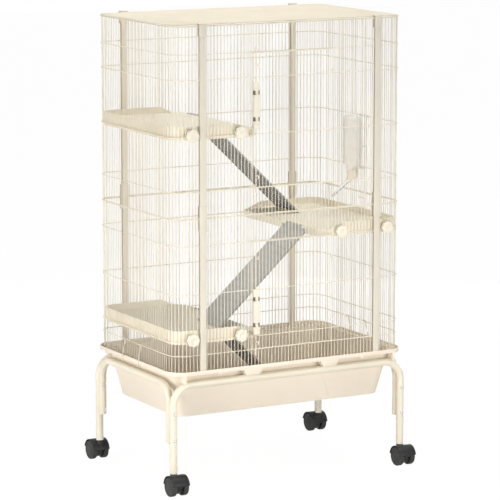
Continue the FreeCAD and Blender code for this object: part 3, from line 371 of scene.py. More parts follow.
def streaked(name, slotName, pale, dark, gloss, noise, bump, **values):
    # One noise, stretched for brushed steel or blown plastic, gives the tint, gloss and bump
    material, shader = newMaterial(name)
    streak = noiseOn(shader, *noise)
    rampInto(shader.inputs["Base Color"], streak, dark, pale)
    rampInto(shader.inputs["Roughness"], streak, *gloss)
    addBump(shader, streak, *bump)
    setInputs(shader, {key.replace("_", " "): value for key, value in values.items()})
    return material, slotName


creamMetal = coatedMetal(
    "creamCoatedMetal", pale=(0.905, 0.835, 0.69), dark=(0.87, 0.795, 0.65), cloudScale=14, smooth=0.33,
    rough=0.45, peelScale=900, peelStrength=0.12, coat=0.12)
creamTube = coatedMetal(
    "creamCoatedTube", pale=(0.905, 0.84, 0.69), dark=(0.88, 0.805, 0.655), cloudScale=9, smooth=0.3,
    rough=0.42, peelScale=700, peelStrength=0.14, coat=0.15)
creamPlastic = mouldedPlastic(
    "creamMouldedPlastic", "cream_plastic", pale=(0.92, 0.865, 0.735), dark=(0.89, 0.83, 0.695),
    worn=(0.94, 0.9, 0.8))
# The posts' cream is the cream plastic painted darker: painted shade that tones down the front and side
# lamps' light on the posts
postShadedPlastic = mouldedPlastic(
    "postShadedMouldedPlastic", "cream_plastic", pale=(0.805, 0.752, 0.64), dark=(0.775, 0.718, 0.6),
    worn=(0.85, 0.81, 0.715), scuffStretch=(1, 1, 0.3))
trayPlastic = mouldedPlastic(
    "trayMouldedPlastic", "cream_plastic", pale=(0.935, 0.85, 0.72), dark=(0.91, 0.82, 0.685),
    worn=(0.95, 0.89, 0.8), cloudScale=5, scuffScale=18, scuffShare=0.3, smooth=0.45, rough=0.62,
    grainScale=1200, grainStrength=0.12, specular=0.4)
greyPlastic = mouldedPlastic(
    "greyRampPlastic", "grey_plastic", pale=(0.49, 0.495, 0.482), dark=(0.445, 0.45, 0.438),
    worn=(0.57, 0.57, 0.553), cloudScale=9, scuffScale=45, scuffStretch=(1, 0.3, 1), scuffShare=0.5,
    smooth=0.5, rough=0.68, grainScale=1500, grainStrength=0.25, specular=0.35)
blackPlastic = mouldedPlastic(
    "blackCasterPlastic", "black_plastic", pale=(0.02, 0.02, 0.02), dark=(0.013, 0.013, 0.014),
    worn=(0.055, 0.055, 0.054), cloudScale=40, scuffScale=120, scuffShare=0.4, smooth=0.38, rough=0.55,
    grainScale=2200, grainStrength=0.2, specular=0.25)
wheelPlastic = mouldedPlastic(
    "wheelTreadPlastic", "black_plastic", pale=(0.062, 0.062, 0.061), dark=(0.045, 0.045, 0.044),
    worn=(0.11, 0.108, 0.104), cloudScale=50, scuffScale=160, scuffShare=0.5, smooth=0.5, rough=0.7,
    grainScale=2200, grainStrength=0.25, specular=0.2)
# Near-black plastic for the ramps' under web: painted shade for the shaded cells under each ramp
paintedShadeWebPlastic = mouldedPlastic(
    "rampPaintedShadePlastic", "grey_plastic", pale=(0.165, 0.165, 0.158), dark=(0.12, 0.121, 0.116),
    worn=(0.24, 0.24, 0.232), cloudScale=30, scuffScale=90, scuffShare=0.4, smooth=0.5, rough=0.7,
    grainScale=1800, grainStrength=0.25, specular=0.35)
# Near-black plastic in the latch notches: painted shade, where the recesses fall into shade
paintedShadeWellPlastic = mouldedPlastic(
    "latchPaintedShadePlastic", "black_plastic", pale=(0.17, 0.147, 0.116), dark=(0.12, 0.105, 0.083),
    worn=(0.24, 0.21, 0.165), cloudScale=60, scuffScale=160, scuffShare=0.3, smooth=0.45,
    grainScale=2200, grainStrength=0.2, specular=0.4)
boltSteel = streaked(
    "zincBolt", "bolt_steel", pale=(0.72, 0.71, 0.69), dark=(0.55, 0.54, 0.52), gloss=(0.22, 0.42),
    noise=(900, 4), bump=(0.15, 0.0002), Metallic=1)
spoutSteel = streaked(
    "polishedSpout", "spout_steel", pale=(0.66, 0.66, 0.67), dark=(0.5, 0.5, 0.51), gloss=(0.22, 0.42),
    noise=(900, 4, (1, 8, 1)), bump=(0.15, 0.0002), Metallic=1)
# The bottle is milky in the photo
bottlePlastic = streaked(
    "clearBottlePlastic", "clear_plastic", pale=(0.97, 0.96, 0.925), dark=(0.94, 0.925, 0.88),
    gloss=(0.12, 0.3), noise=(40, 3, (1, 1, 0.15)), bump=(0.2, 0.0004), Transmission_Weight=0.12, IOR=1.2)
print("materials ready")


# Camera and light

view = dict(
    place=(-3.95165, -7.10818, 2.00629), target=(0, 0, 0.65788), lens=201.963, shiftX=0.001588,
    shiftY=-0.013548)


def aimAt(item, target):
    item.rotation_euler = (Vector(target) - item.location).to_track_quat("-Z", "Y").to_euler()


bpy.ops.object.camera_add(location=view["place"])
camera = bpy.context.object
aimAt(camera, view["target"])
camera.data.lens = view["lens"]
camera.data.sensor_width = 36
camera.data.shift_x = view["shiftX"]
camera.data.shift_y = view["shiftY"]
camera.data.clip_end = 100
bpy.context.scene.camera = camera
bpy.context.scene.view_settings.view_transform = "Standard"

# Name, place, target, size, power and colour. The front and side lamps stand close, so the far
# walls fall into soft shade as in the photo. The last is for the sides that the camera doesn't see.
lamps = (("frontLamp", (0.1, -2, 0.44), (0.05, 0, 0.5), 1.3, 24.5, (1, 0.99, 0.97)),
         ("sideLamp", (-2.1, -0.35, 0.52), (0, 0, 0.5), 1.3, 29, (1, 0.985, 0.96)),
         ("topLamp", (0.4, -0.6, 4.6), (0, 0, 0.7), 3, 118, (1, 0.99, 0.97)),
         ("backLamp", (2, 2.4, 0.3), (0.1, 0.1, 0.6), 1.5, 30, (1, 0.99, 0.97)))
for name, place, target, size, power, colour in lamps:
    bpy.ops.object.light_add(type="AREA", location=place)
    lamp = bpy.context.object
    lamp.name = name
    lamp.data.shape = "DISK"
    lamp.data.size = size
    lamp.data.energy = power
    lamp.data.color = colour
    lamp.visible_camera = False
    aimAt(lamp, target)


def mixBySight(surface, plain, seen, share):
    # Gives camera, glossy and transmission rays a share of the second shader
    rays = addNode(surface, "LightPath")
    total = rays.outputs["Is Camera Ray"]
    for kind in ("Is Glossy Ray", "Is Transmission Ray"):
        either = addNode(surface, "Math")
        either.operation = "MAXIMUM"
        link(total, either.inputs[0])
        link(rays.outputs[kind], either.inputs[1])
        total = either.outputs[0]
    part = addNode(surface, "Math", {1: share})
    part.operation = "MULTIPLY"
    link(total, part.inputs[0])
    mix = addNode(surface, "MixShader")
    link(part.outputs[0], mix.inputs["Fac"])
    link(plain.outputs[0], mix.inputs[1])
    link(seen.outputs[0], mix.inputs[2])
    link(mix.outputs[0], surface)


world = bpy.data.worlds.new("studioWorld")
bpy.context.scene.world = world
world.use_nodes = True
world.node_tree.nodes.clear()
room = addNode(world.node_tree, "Background", {"Color": (1, 0.995, 0.985, 1), "Strength": 0.15})
backdrop = addNode(world.node_tree, "Background", {"Color": (1, 1, 1, 1), "Strength": 1})
mixBySight(addNode(world.node_tree, "OutputWorld").inputs["Surface"], room, backdrop, 1)

# The floor is near white to the camera and keeps the cage's own faint shadow
floorMaterial, floorShader = newMaterial("studioFloor")
setInputs(floorShader, {"Base Color": (0.42, 0.42, 0.42, 1), "Roughness": 0.9})
floorOut = floorMaterial.node_tree.nodes["Material Output"]
mixBySight(floorOut.inputs["Surface"], floorShader, addNode(floorShader, "Emission", {"Strength": 1.08}), 0.9)

bpy.ops.mesh.primitive_plane_add(size=30, location=(0, 0, -0.0005))
floor = bpy.context.object
floor.name = "studioFloorPlane"
floor.data.materials.append(floorMaterial)
print("camera, lamps and floor set")


# Stand: bent tubes, bolts and leg plugs

tube = dict(railZ=312.5, radius=11, bend=57, wall=1.2, mouth=40, sides=28, steps=10)
legX, legY, shortY, footZ, shortFootZ = 377.5, 238, 215.8, 62, 145
standBolt = dict(radius=5, height=4, socket=2.1, socketDepth=1.6, grip=44.2, shank=2.6)
legPlug = dict(bore=4.1, radius=11, sleeve=9.7, head=60.3, foot=62, top=92)


def tubeArch(footA, footB, railZ, radius, bend, wall, mouth, sides, steps):
    # A tube up from one foot, across and down to the other, with an open mouth in each foot
    topA, topB = ((*foot[:2], railZ) for foot in (footA, footB))
    arch = bentBar([footA, topA, topB, footB], radius, bend, sides, steps)
    startEdit(arch)
    for foot in (footA, footB):
        selectOnly("FACE", lambda face: (face.calc_center_median() - Vector(foot)).length < 1)
        bpy.ops.mesh.inset(thickness=wall, depth=0)
        extrudeBy((0, 0, mouth))
    endEdit()
    return arch


for name, y in (("front", -legY), ("rear", legY)):
    arch = tubeArch((-legX, y, footZ), (legX, y, footZ), **tube)
    finishPiece(arch, name + "StandArch", creamTube, "cage", name + "_leg_frame")
for name, x in (("left", -legX), ("right", legX)):
    arch = tubeArch((x, -shortY, shortFootZ), (x, shortY, shortFootZ), **tube)
    finishPiece(arch, name + "StandTube", creamTube, "cage", name + "_side_tube")


def boltShape(radius, height, socket, socketDepth, grip, shank):
    # A round head with a hex socket in front, a nut and the bolt's end behind
    head = turned([(radius, 0), (radius, height * 0.45), (radius * 0.86, height * 0.8),
                   (radius * 0.6, height), (socket + 0.4, height)], 24)
    cutAway(head, newShape(bpy.ops.mesh.primitive_cylinder_add, vertices=6, radius=socket,
                           depth=2 * socketDepth, location=(0, 0, height)))
    nut = soften(turned([(radius, 0), (radius, height)], 6), 0.5)
    end = turned([(shank, height), (shank, height + 1), (shank - 0.5, height + 1.4)], 16)
    return joined(standOn(head, (0, 0, 0), (0, -1, 0)), standOn(joined(nut, end), (0, grip, 0), (0, 1, 0)))


def plugShape(bore, radius, sleeve, head, foot, top):
    return turned([(bore, head), (radius - 0.4, head), (radius, head + 0.5), (radius, foot), (sleeve, foot),
                   (sleeve, top), (bore, top)], 28, closed=True)


bolts = copies(boltShape(**standBolt), [
    (x, y - tube["radius"], z) for x in (-legX, legX) for y in (-legY, shortY) for z in (157, 234)])
finishPiece(joined(*bolts), "standBolts", boltSteel, "cage", "frame_bolts", smooth=30)

plugs = copies(plugShape(**legPlug), [(x, y, 0) for x in (-legX, legX) for y in (-legY, legY)])
finishPiece(joined(*plugs), "legPlugs", creamPlastic, "cage", "leg_plugs")
print("stand done")


# Casters: twin wheels under one hood

caster = dict(axleZ=28, trail=19)
wheel = dict(radius=28, inner=10.6, outer=26.5, bore=4.06)
hoodPlan = dict(
    half=26.5, inner=30.2, outer=32.2, start=10, sweep=165, hubRadius=22, hubHalf=9.4, axleHalf=23.2,
    axleRadius=3.98, stem=4, stemTop=100)


def wheelShape(radius, inner, outer, bore):
    # Tread with round shoulders, a dished outer face and a low hub cap
    return turned([(bore, inner), (12, inner), (13, inner + 1.2), (22, inner + 1.2), (23, inner),
                   (radius - 2.5, inner), (radius - 0.7, inner + 0.8), (radius, inner + 2.6),
                   (radius, outer - 3.2), (radius - 0.8, outer - 1.2), (radius - 2.8, outer),
                   (radius - 4.5, outer), (radius - 5.5, outer - 0.9), (12.5, outer - 0.9),
                   (11.5, outer - 0.1), (9, outer), (3, outer)], 56)


def casterHood(outward, half, inner, outer, start, sweep, hubRadius, hubHalf, axleHalf, axleRadius, stem,
               stemTop):
    # The curved cover, in the frame of the stem, with the wheels' axle at its own height
    axleY, axleZ = outward * caster["trail"], caster["axleZ"]

    def arc(x, radius, start, sweep, steps):
        turns = [radians(start + sweep * step / steps) for step in range(steps + 1)]
        return [(x, axleY + outward * radius * cos(turn), axleZ + radius * sin(turn)) for turn in turns]

    cover = outlinePrism(arc(-half, outer, start, sweep, 22) + arc(-half, inner, start, sweep, 22)[::-1],
                         (2 * half, 0, 0), 0.8)
    hub = outlinePrism(arc(-hubHalf, inner + 0.6, start, sweep, 32)
                       + arc(-hubHalf, hubRadius, 180, 180, 16)[1:-1], (2 * hubHalf, 0, 0), 1.2)
    boss = turned([(9.2, 27), (10, 28), (10, 58.6), (9.2, 59.6), (6.2, 60), (stem, 60), (stem, stemTop),
                   (stem - 0.8, stemTop + 1.5)])
    pin = turned([(3.6, 0), (axleRadius, 0.6), (axleRadius, 2 * axleHalf - 0.6), (3.6, 2 * axleHalf)], 24)
    return joined(cover, hub, boss, standOn(pin, (-axleHalf, axleY, axleZ), (1, 0, 0)))


rightWheel = standOn(wheelShape(**wheel), (0, 0, caster["axleZ"]), (1, 0, 0))
wheelPair = joined(rightWheel, mirrored(rightWheel))
for row, outward in (("front", -1), ("rear", 1)):
    hood = casterHood(outward, **hoodPlan)
    for column, side in (("left", -1), ("right", 1)):
        corner, title = f"{row}_{column}", row + column.title()
        x, y = side * legX, outward * legY
        finishPiece(copyOf(hood, (x, y, 0)), title + "CasterHood", blackPlastic, corner + "_caster",
                    corner + "_caster_hood")
        finishPiece(copyOf(wheelPair, (x, y + outward * caster["trail"], 0)), title + "CasterWheels",
                    wheelPlastic, corner + "_wheel_pair", corner + "_caster_wheels")
    bpy.data.objects.remove(hood)
bpy.data.objects.remove(wheelPair)
print("casters done")


# Base tray

tray = dict(
    wall=2.6, floorZ=209, ledgeTop=344.8, rimFoot=340, rimTop=352, rim=(385.5, 254.5, 54.5),
    mouth=(364, 224.5, 45), floor=(337, 189, 34), panelCut=1.3, panelTop=(300, 124),
    panelFoot=(216, 160))
wall, floorZ, under = tray["wall"], tray["floorZ"], tray["ledgeTop"] - tray["wall"]
# Blocks under the rim: place, half width and height of the top and the foot, depth and edge
trayFeet = ((127, 32, under + 0.5, 22, 323.7, 26, 0.8), (345, 3.5, under + 0.5, 3.5, 318.4, 26, 0.6),
            (235, 8, 341, 1.5, 334.2, 2.4, 0.4))


def trayFoot(side, x, topHalf, topZ, footHalf, footZ, depth, edge):
    lip = side * (tray["rim"][1] - 0.4)
    outline = [(x - topHalf, lip, topZ), (x + topHalf, lip, topZ), (x + footHalf, lip, footZ),
               (x - footHalf, lip, footZ)]
    return outlinePrism(outline, (0, -side * depth, 0), edge)


def panelCutter(side):
    # For the shallow panel of a long wall, its ends slanting outward to the foot
    outline = []
    for z, half in (tray["panelTop"], tray["panelFoot"]):
        share = (z - floorZ) / (under - floorZ)
        y = side * (tray["floor"][1] + share * (tray["mouth"][1] - tray["floor"][1]) - tray["panelCut"])
        outline += [(-half, y, z), (half, y, z)]
    return outlinePrism(outline[:2] + outline[:1:-1], (0, side * 12, 0))


# Up the outside of the tray, round its rim, and down the inside: outline, inset and height
rings = (("floor", 0, floorZ), ("mouth", 0, under), ("rim", wall, under), ("rim", wall, tray["rimFoot"]),
         ("rim", 0, tray["rimFoot"]), ("rim", 0, tray["rimTop"]), ("rim", wall, tray["rimTop"]),
         ("rim", wall, tray["ledgeTop"]), ("mouth", wall, tray["ledgeTop"]), ("floor", wall, floorZ + wall))
trayShape = ringStack([(*(size - inset for size in tray[name]), z) for name, inset, z in rings])
soften(trayShape, 1.1, 3, 30)
for side in (-1, 1):
    trayShape = cutAway(trayShape, panelCutter(side))
feet = [trayFoot(side, sign * x, *shape) for side in (-1, 1) for x, *shape in trayFeet for sign in (-1, 1)]
finishPiece(joined(trayShape, *feet), "baseTrayShell", trayPlastic, "cage", "base_tray", smooth=32)
print("tray done")


# Wire walls

wires = dict(thin=1, thick=1.3, thinSides=8, thickSides=10, cornerSteps=8)
wallPlan = dict(
    x=373.4, y=242.4, railX=375.7, railY=244.7, cornerX=331, cornerY=200, railBend=44.7,
    cornerReach=42.4, cornerCount=6, sidePitch=400 / 36, sideCount=35, stubFirst=290.8,
    stubPitch=34.7 / 3, stubCount=4, sideEnd=288.8, frontFirst=-281.2, frontPitch=562.4 / 51,
    frontCount=52, besideDoor=14, frontEnd=283.2, openingEdge=137.843)
# Heights, with the upper bolt's finger wire before the lower one's
tiers = {
    "lower": dict(
        z=(344.8, 785.8), rails=(396.012, 436.019, 569.496, 709.501, 784.5), door=(396.012, 709.501),
        latchZ=506.517, fingers=(660.007, 420.99)),
    "upper": dict(
        z=(786, 1327.3), rails=(787.3, 862, 1016.037, 1176.5, 1248.01, 1326), door=(862, 1248.01),
        latchZ=1096.694, fingers=(1209.993, 898.377))}
# A pressed clip: a barrel round the hinge wire and a tab on the opening's edge wire
hingeClip = dict(x=132.5, y=-250, bore=1.45, radius=3.2, height=8, tab=(134.6, 138.7, -251.2, -243.6))
wallY, railX, railY = wallPlan["y"], wallPlan["railX"], wallPlan["railY"]
frontFirst, frontPitch, besideDoor = wallPlan["frontFirst"], wallPlan["frontPitch"], wallPlan["besideDoor"]
doorCount = wallPlan["frontCount"] - 2 * besideDoor


def thinWire(start, end):
    return bentBar([start, end], wires["thin"], sides=wires["thinSides"])


def thickWire(path, bend=0, closed=False):
    return bentBar(path, wires["thick"], bend, wires["thickSides"], wires["cornerSteps"], closed)


def levelWire(x0, x1, y, z):
    return thickWire([(x0, y, z), (x1, y, z)])


def uprightRow(x, y, z0, z1, count, step):
    return repeat(thinWire((x, y, z0), (x, y, z1)), count, step)


def frontRow(start, count, y, z0, z1):
    # Uprights at the pitch of the front and rear, counted from the left
    return uprightRow(frontFirst + start * frontPitch, y, z0, z1, count, (frontPitch, 0, 0))


def sideWall(tier):
    # The right-hand wall: it wraps both corners and ends in the posts
    z0, z1 = tier["z"]
    pitch, cornerY, railEnd = wallPlan["sidePitch"], wallPlan["cornerY"], wallPlan["sideEnd"]
    turns = [90 * (step + 0.5) / wallPlan["cornerCount"] for step in range(wallPlan["cornerCount"])]
    made = [uprightRow(wallPlan["x"], -cornerY + pitch, z0, z1, wallPlan["sideCount"], (0, pitch, 0))]
    for end in (-1, 1):
        made.append(uprightRow(wallPlan["stubFirst"], end * wallY, z0, z1, wallPlan["stubCount"],
                               (wallPlan["stubPitch"], 0, 0)))
        centre = (wallPlan["cornerX"], end * cornerY, 0)
        reach = centre[0] + wallPlan["cornerReach"]
        first = thinWire((reach, centre[1], z0), (reach, centre[1], z1))
        made += copies(first, turns=[end * turn for turn in turns], about=centre)
    rail = thickWire([(railEnd, -railY, 0), (railX, -railY, 0), (railX, railY, 0), (railEnd, railY, 0)],
                     wallPlan["railBend"])
    return joined(*made, *copies(rail, [(0, 0, z) for z in tier["rails"]]))


def rearWall(tier):
    end = wallPlan["frontEnd"]
    return joined(frontRow(0, wallPlan["frontCount"], wallY, *tier["z"]),
                  *(levelWire(-end, end, railY, z) for z in tier["rails"]))


def hingeClipAt(z, x, y, bore, radius, height, tab):
    barrel = turned([(bore, 0), (radius - 0.2, 0), (radius, 0.3), (radius, height - 0.3),
                     (radius - 0.2, height), (bore, height)], 20, closed=True)
    return joined(moved(barrel, (x, y, z)), slab(*tab, z, z + height, 0.7))


def frontWall(tier):
    # Wires in front of the door opening stop at its head and foot
    z0, z1 = tier["z"]
    foot, head = tier["door"]
    thick, end, stop = wires["thick"], wallPlan["frontEnd"], wallPlan["openingEdge"] + wires["thin"]
    rows = ((0, besideDoor, z0, z1), (besideDoor + doorCount, besideDoor, z0, z1),
            (besideDoor, doorCount, z0, foot + thick), (besideDoor, doorCount, head - thick, z1))
    made = [frontRow(start, count, -wallY, low, high) for start, count, low, high in rows]
    for z in tier["rails"]:
        spans = ((-end, -stop), (stop, end)) if foot < z < head else ((-end, end),)
        made += [levelWire(x0, x1, -railY, z) for x0, x1 in spans]
    return joined(*made, *(hingeClipAt(z, **hingeClip) for z in (foot + 60, head - 68)))


def finishWires(piece, name, body, node):
    finishPiece(piece, name, creamMetal, body, node, smooth=50)


for tierName, tier in tiers.items():
    right = sideWall(tier)
    panels = {"Left": mirrored(right), "Right": right, "Rear": rearWall(tier), "Front": frontWall(tier)}
    for place, panel in panels.items():
        finishWires(panel, f"{tierName}{place}Wires", "cage", f"{tierName}_{place.lower()}_panel")
    print(tierName + " walls done")

topPlan = dict(
    z=1328.6, wireZ=1330.9, first=-233.4, count=43, pitch=466.8 / 42, crossX=(-178, 0, 178),
    hookReach=2.6, hookFoot=1316.2, hookBend=1.6)


def topWires(z, wireZ, first, count, pitch, crossX, hookReach, hookFoot, hookBend):
    # Close wires from side to side on a rim, and three cross wires with hooks at their ends
    bend, cornerY = wallPlan["railBend"], wallPlan["cornerY"]
    made = [thickWire([(0, railY, z), (railX, railY, z), (railX, -railY, z), (-railX, -railY, z),
                       (-railX, railY, z), (0, railY, z)], bend, closed=True)]
    rows = [first + step * pitch for step in range(count)]
    straight = [y for y in rows if abs(y) <= cornerY]
    wire = thinWire((-railX, straight[0], wireZ), (railX, straight[0], wireZ))
    made.append(repeat(wire, len(straight), (0, pitch, 0)))
    for y in rows:
        if abs(y) > cornerY:
            reach = wallPlan["cornerX"] + sqrt(bend ** 2 - (abs(y) - cornerY) ** 2)
            made.append(thinWire((-reach, y, wireZ), (reach, y, wireZ)))
    for x in crossX:
        made.append(thickWire([(x, -railY + 0.8, z), (x, railY - 0.8, z)]))
        for end in (-1, 1):
            y = end * (railY + hookReach)
            made.append(bentBar([(x, end * (railY + 0.4), z), (x, y, z), (x, y, hookFoot)], wires["thick"],
                                hookBend, wires["thickSides"], 4))
    return joined(*made)


finishWires(topWires(**topPlan), "topWires", "cage", "top_panel")
print("top done")


# Doors

doorPlan = dict(uprightY=-247.7, inset=2, overhang=3)
latch = dict(
    x=-119, width=21, height=131, front=-263.3, back=-251.3, notch=12, notchAt=37.5,
    notchDepth=9.6, stem=8, stemDepth=2, shadeSheetDepth=6, endAt=50, endStep=1.4)
boltPlan = dict(y=-253.2, radius=1.6, reach=15, tail=21.3, finger=14, hook=7, bend=2.4)
notchAt, halfNotch, halfLatch = latch["notchAt"], latch["notch"] / 2, latch["height"] / 2


def doorLeaf(tier):
    # The leaf's edge wires and cross wires in front, its uprights behind, hung on the right-hand wire
    half, railY, uprightY, over = hingeClip["x"], hingeClip["y"], doorPlan["uprightY"], doorPlan["overhang"]
    foot, head = tier["door"][0] + doorPlan["inset"], tier["door"][1] - doorPlan["inset"]
    z0, z1 = foot - over, head + over
    levels = [foot, head] + [z for z in tier["rails"] if foot < z < head]
    return joined(*(levelWire(-half + 0.6, half - 0.9, railY, z) for z in levels),
                  frontRow(besideDoor, doorCount, uprightY, z0, z1),
                  thinWire((-half + 1, uprightY, z0), (-half + 1, uprightY, z1)),
                  thickWire([(half, railY, z0), (half, railY, z1)]))


for tierName, tier in tiers.items():
    finishWires(doorLeaf(tier), tierName + "DoorWires", tierName + "_door_leaf", tierName + "_door")


def latchBlock(inset, depth, z0, z1, edge, segments=2, lift=0):
    # A block as wide as the latch, less the inset, from a depth in its front to its back
    half = latch["width"] / 2 - inset
    return slab(latch["x"] - half, latch["x"] + half, latch["front"] + depth, latch["back"] - lift,
                z0, z1, edge, segments)


def latchHousing(z):
    # A long moulding with a notch each side of the bolt near each end
    endAt, plate, beside = latch["endAt"], halfLatch - 4, (latch["width"] - latch["stem"]) / 2
    blocks = [latchBlock(0, 0, z - notchAt + halfNotch, z + notchAt - halfNotch, 1.6, 3)]
    for sign in (-1, 1):
        blocks += [latchBlock(0, 0, z + sign * (notchAt + halfNotch), z + sign * endAt, 1.2, 3),
                   latchBlock(0.4, latch["endStep"], z + sign * (endAt - 0.6), z + sign * halfLatch, 1.6, 3)]
    return joined(*blocks, latchBlock(0.3, latch["notchDepth"], z - plate, z + plate, 0.5),
                  latchBlock(beside, latch["stemDepth"], z - plate, z + plate, 0.8))


def latchPaintedShadeSheets(z):
    # Dark sheets in the notches, painted shade for the shade inside the recesses
    return joined(*(latchBlock(0.8, latch["shadeSheetDepth"], z + sign * (notchAt - halfNotch - 1),
                               z + sign * (notchAt + halfNotch + 1), 0.3, lift=0.5) for sign in (-1, 1)))


for tierName, tier in tiers.items():
    name, leaf, z = tierName + "Latch", tierName + "_door_leaf", tier["latchZ"]
    finishPiece(latchHousing(z), name + "Housing", creamPlastic, leaf, tierName + "_latch_housing", smooth=30)
    finishPiece(latchPaintedShadeSheets(z), name + "PaintedShadeSheets", paintedShadeWellPlastic, leaf, smooth=30)


def latchBolt(centreZ, railZ, fingerZ, y, radius, reach, tail, finger, hook, bend):
    # One straight wire with a finger wire welded to it
    sign = 1 if railZ > centreZ else -1
    x, out = latch["x"], y - finger
    rod = bentBar([(x, y, centreZ + sign * tail), (x, y, railZ + sign * reach)], radius, sides=16)
    wire = bentBar([(x, y - radius * 0.5, fingerZ), (x, out, fingerZ),
                    (x, out, fingerZ + sign * (hook + radius))], radius, bend, 14)
    return joined(soften(rod, 0.5, angle=60), soften(wire, 0.5, angle=60))


for tierName, tier in tiers.items():
    for end, railZ, fingerZ in zip(("top", "bottom"), tier["door"][::-1], tier["fingers"]):
        bolt = latchBolt(tier["latchZ"], railZ, fingerZ, **boltPlan)
        finishPiece(bolt, tierName + end.title() + "Bolt", creamMetal, f"{tierName}_{end}_bolt",
                    f"{tierName}_latch_{end}_bolt", smooth=45)
print("doors and latches done")


# Posts, sleeves and caps

postPlan = dict(
    x=286, outerY=249.9, outerInside=246.5, innerY=240.9, innerFace=237.9, flange=9.5, web=2.5,
    inner=8, crown=0.7, lower=(345, 785.4), upper=(786.4, 1327), sleeve=(749.9, 821.9),
    cap=(1299.4, 1332.1), clipPlay=0.2, clipWall=2, clipLip=2.4, lid=2.5)
outerY, innerFace = postPlan["outerY"], postPlan["innerFace"]
clipWall, clipPlay = postPlan["clipWall"], postPlan["clipPlay"]


def postShape(z0, z1):
    # Two flanges on a web; the outer one is slightly crowned
    flange, web, inner = postPlan["flange"], postPlan["web"], postPlan["inner"]
    inside, innerY = postPlan["outerInside"], postPlan["innerY"]
    half = [(flange - 1.2, -outerY + postPlan["crown"] * 0.4), (flange, -outerY + 1.2), (flange, -inside),
            (web, -inside), (web, -innerY), (inner, -innerY), (inner, -innerFace - 0.8),
            (inner - 0.8, -innerFace)]
    crown = [(-flange * 0.5, -outerY + 0.05), (0, -outerY), (flange * 0.5, -outerY + 0.05)]
    outline = half + [(-x, y) for x, y in half[::-1]] + crown
    return outlinePrism([(x, y, z0) for x, y in outline], (0, 0, z1 - z0))


def clipShape(z0, z1):
    # Two shallow channels that snap over the post's outer and inner flanges
    made = []
    for half, face, way in ((postPlan["flange"], outerY, 1), (postPlan["inner"], innerFace, -1)):
        fit, near, outer = half + clipPlay, face + way * clipPlay, face + way * (clipPlay + clipWall)
        wide, back = fit + clipWall, face - way * postPlan["clipLip"]
        outline = [(-wide, outer), (wide, outer), (wide, back), (fit, back), (fit, near), (-fit, near),
                   (-fit, back), (-wide, back)]
        made.append(outlinePrism([(x, -y, z0) for x, y in outline], (0, 0, z1 - z0), 0.6))
    return made


def finishAtPosts(parts, name, node, smooth=30):
    # The rear posts are turned to face the rear
    made = copies(joined(*parts), [(side * postPlan["x"], 0, 0) for side in (-1, 1)], (0, 180))
    finishPiece(joined(*made), name, postShadedPlastic, "cage", node, smooth=smooth)


for name in ("lower", "upper"):
    finishAtPosts([postShape(*postPlan[name])], name + "PostBars", name + "_posts", 25)
finishAtPosts(clipShape(*postPlan["sleeve"]), "postSleeveClips", "post_sleeves")
capHalf, lidFoot = postPlan["flange"] + clipPlay + clipWall, postPlan["cap"][1]
lid = slab(-capHalf, capHalf, -outerY - clipPlay - clipWall, -innerFace + clipPlay + clipWall,
           lidFoot, lidFoot + postPlan["lid"], 0.9, 3)
finishAtPosts([*clipShape(*postPlan["cap"]), lid], "postTopCaps", "post_caps")
print("posts done")


# Platforms and their knobs

platform = dict(
    drop=8, height=39, dish=19, wall=2.5, radius=41, halfY=237.6, farX=369.4, edgeX=98,
    fallStart=80, fallEnd=25, bossWidth=14, bossLength=18, slotNear=2.5, slotFar=8.5,
    slotHalf=46, ribDepth=9)
knobPlan = dict(
    rise=5.5, radius=18.5, depth=13, lobes=8, share=0.14, count=96, back=-246.3, hub=11.5, step=0.7,
    stud=2.5, studEnd=-221.6)
# Name, side of the wall it hangs at (-1 left), level, place of the ramp and of the knobs
levels = (("high", -1, 1016.037, 144.936, (-319.717, -165.412)),
          ("middle", 1, 709.501, -91.001, (165.412, 319.717)),
          ("low", -1, 436.019, 111.91, (-319.717, -165.412)))


def platformBody(side, level, rampAt, knobs, drop, height, dish, wall, radius, halfY, farX, edgeX, fallStart,
                 fallEnd, bossWidth, bossLength, slotNear, slotFar, slotHalf, ribDepth):
    edgeX, farX = side * edgeX, side * farX
    halfX, middle = abs(farX - edgeX) / 2, (edgeX + farX) / 2
    foot = level - drop
    top = foot + height
    floorTop = top - dish
    under = floorTop - wall

    def ring(inset, z):
        return (halfX - inset, halfY - inset, radius - inset, z)

    body = ringStack([ring(wall, under), ring(wall, foot), ring(0, foot), ring(0, top), ring(wall, top),
                      ring(wall, floorTop)], middle)
    # The lip falls in a soft S to the floor's level by the free edge
    curve = [(fallEnd + (fallStart - fallEnd) * share, floorTop + dish * (share * share * (3 - 2 * share)))
             for share in (step / 12 for step in range(1, 12))]
    fall = [(-5, floorTop), (fallEnd, floorTop), *curve, (fallStart, top), (fallStart, top + 10),
            (-5, top + 10)]
    body = cutAway(body, outlinePrism([(edgeX + side * x, -halfY - 5, z) for x, z in fall],
                                      (0, 2 * halfY + 10, 0)))
    body = cutAway(body, slab(edgeX + side * slotNear, edgeX + side * slotFar, rampAt - slotHalf,
                              rampAt + slotHalf, under - 5, floorTop + 5))
    made = [soften(body, 0.9, 3, 30)]
    half = bossWidth / 2
    for x in knobs:
        made.append(slab(x - half, x + half, -halfY + wall / 2, -halfY + bossLength, foot, under + 0.5, 0.8))
    # Stiffening ribs under the floor
    for step in range(1, 5):
        y = -halfY + 2 * halfY * step / 5
        made.append(slab(edgeX + side * (slotFar + 6), farX - side * (wall - 0.5), y - 1, y + 1,
                         under - ribDepth, under + 0.6, 0.3))
    return joined(*made)


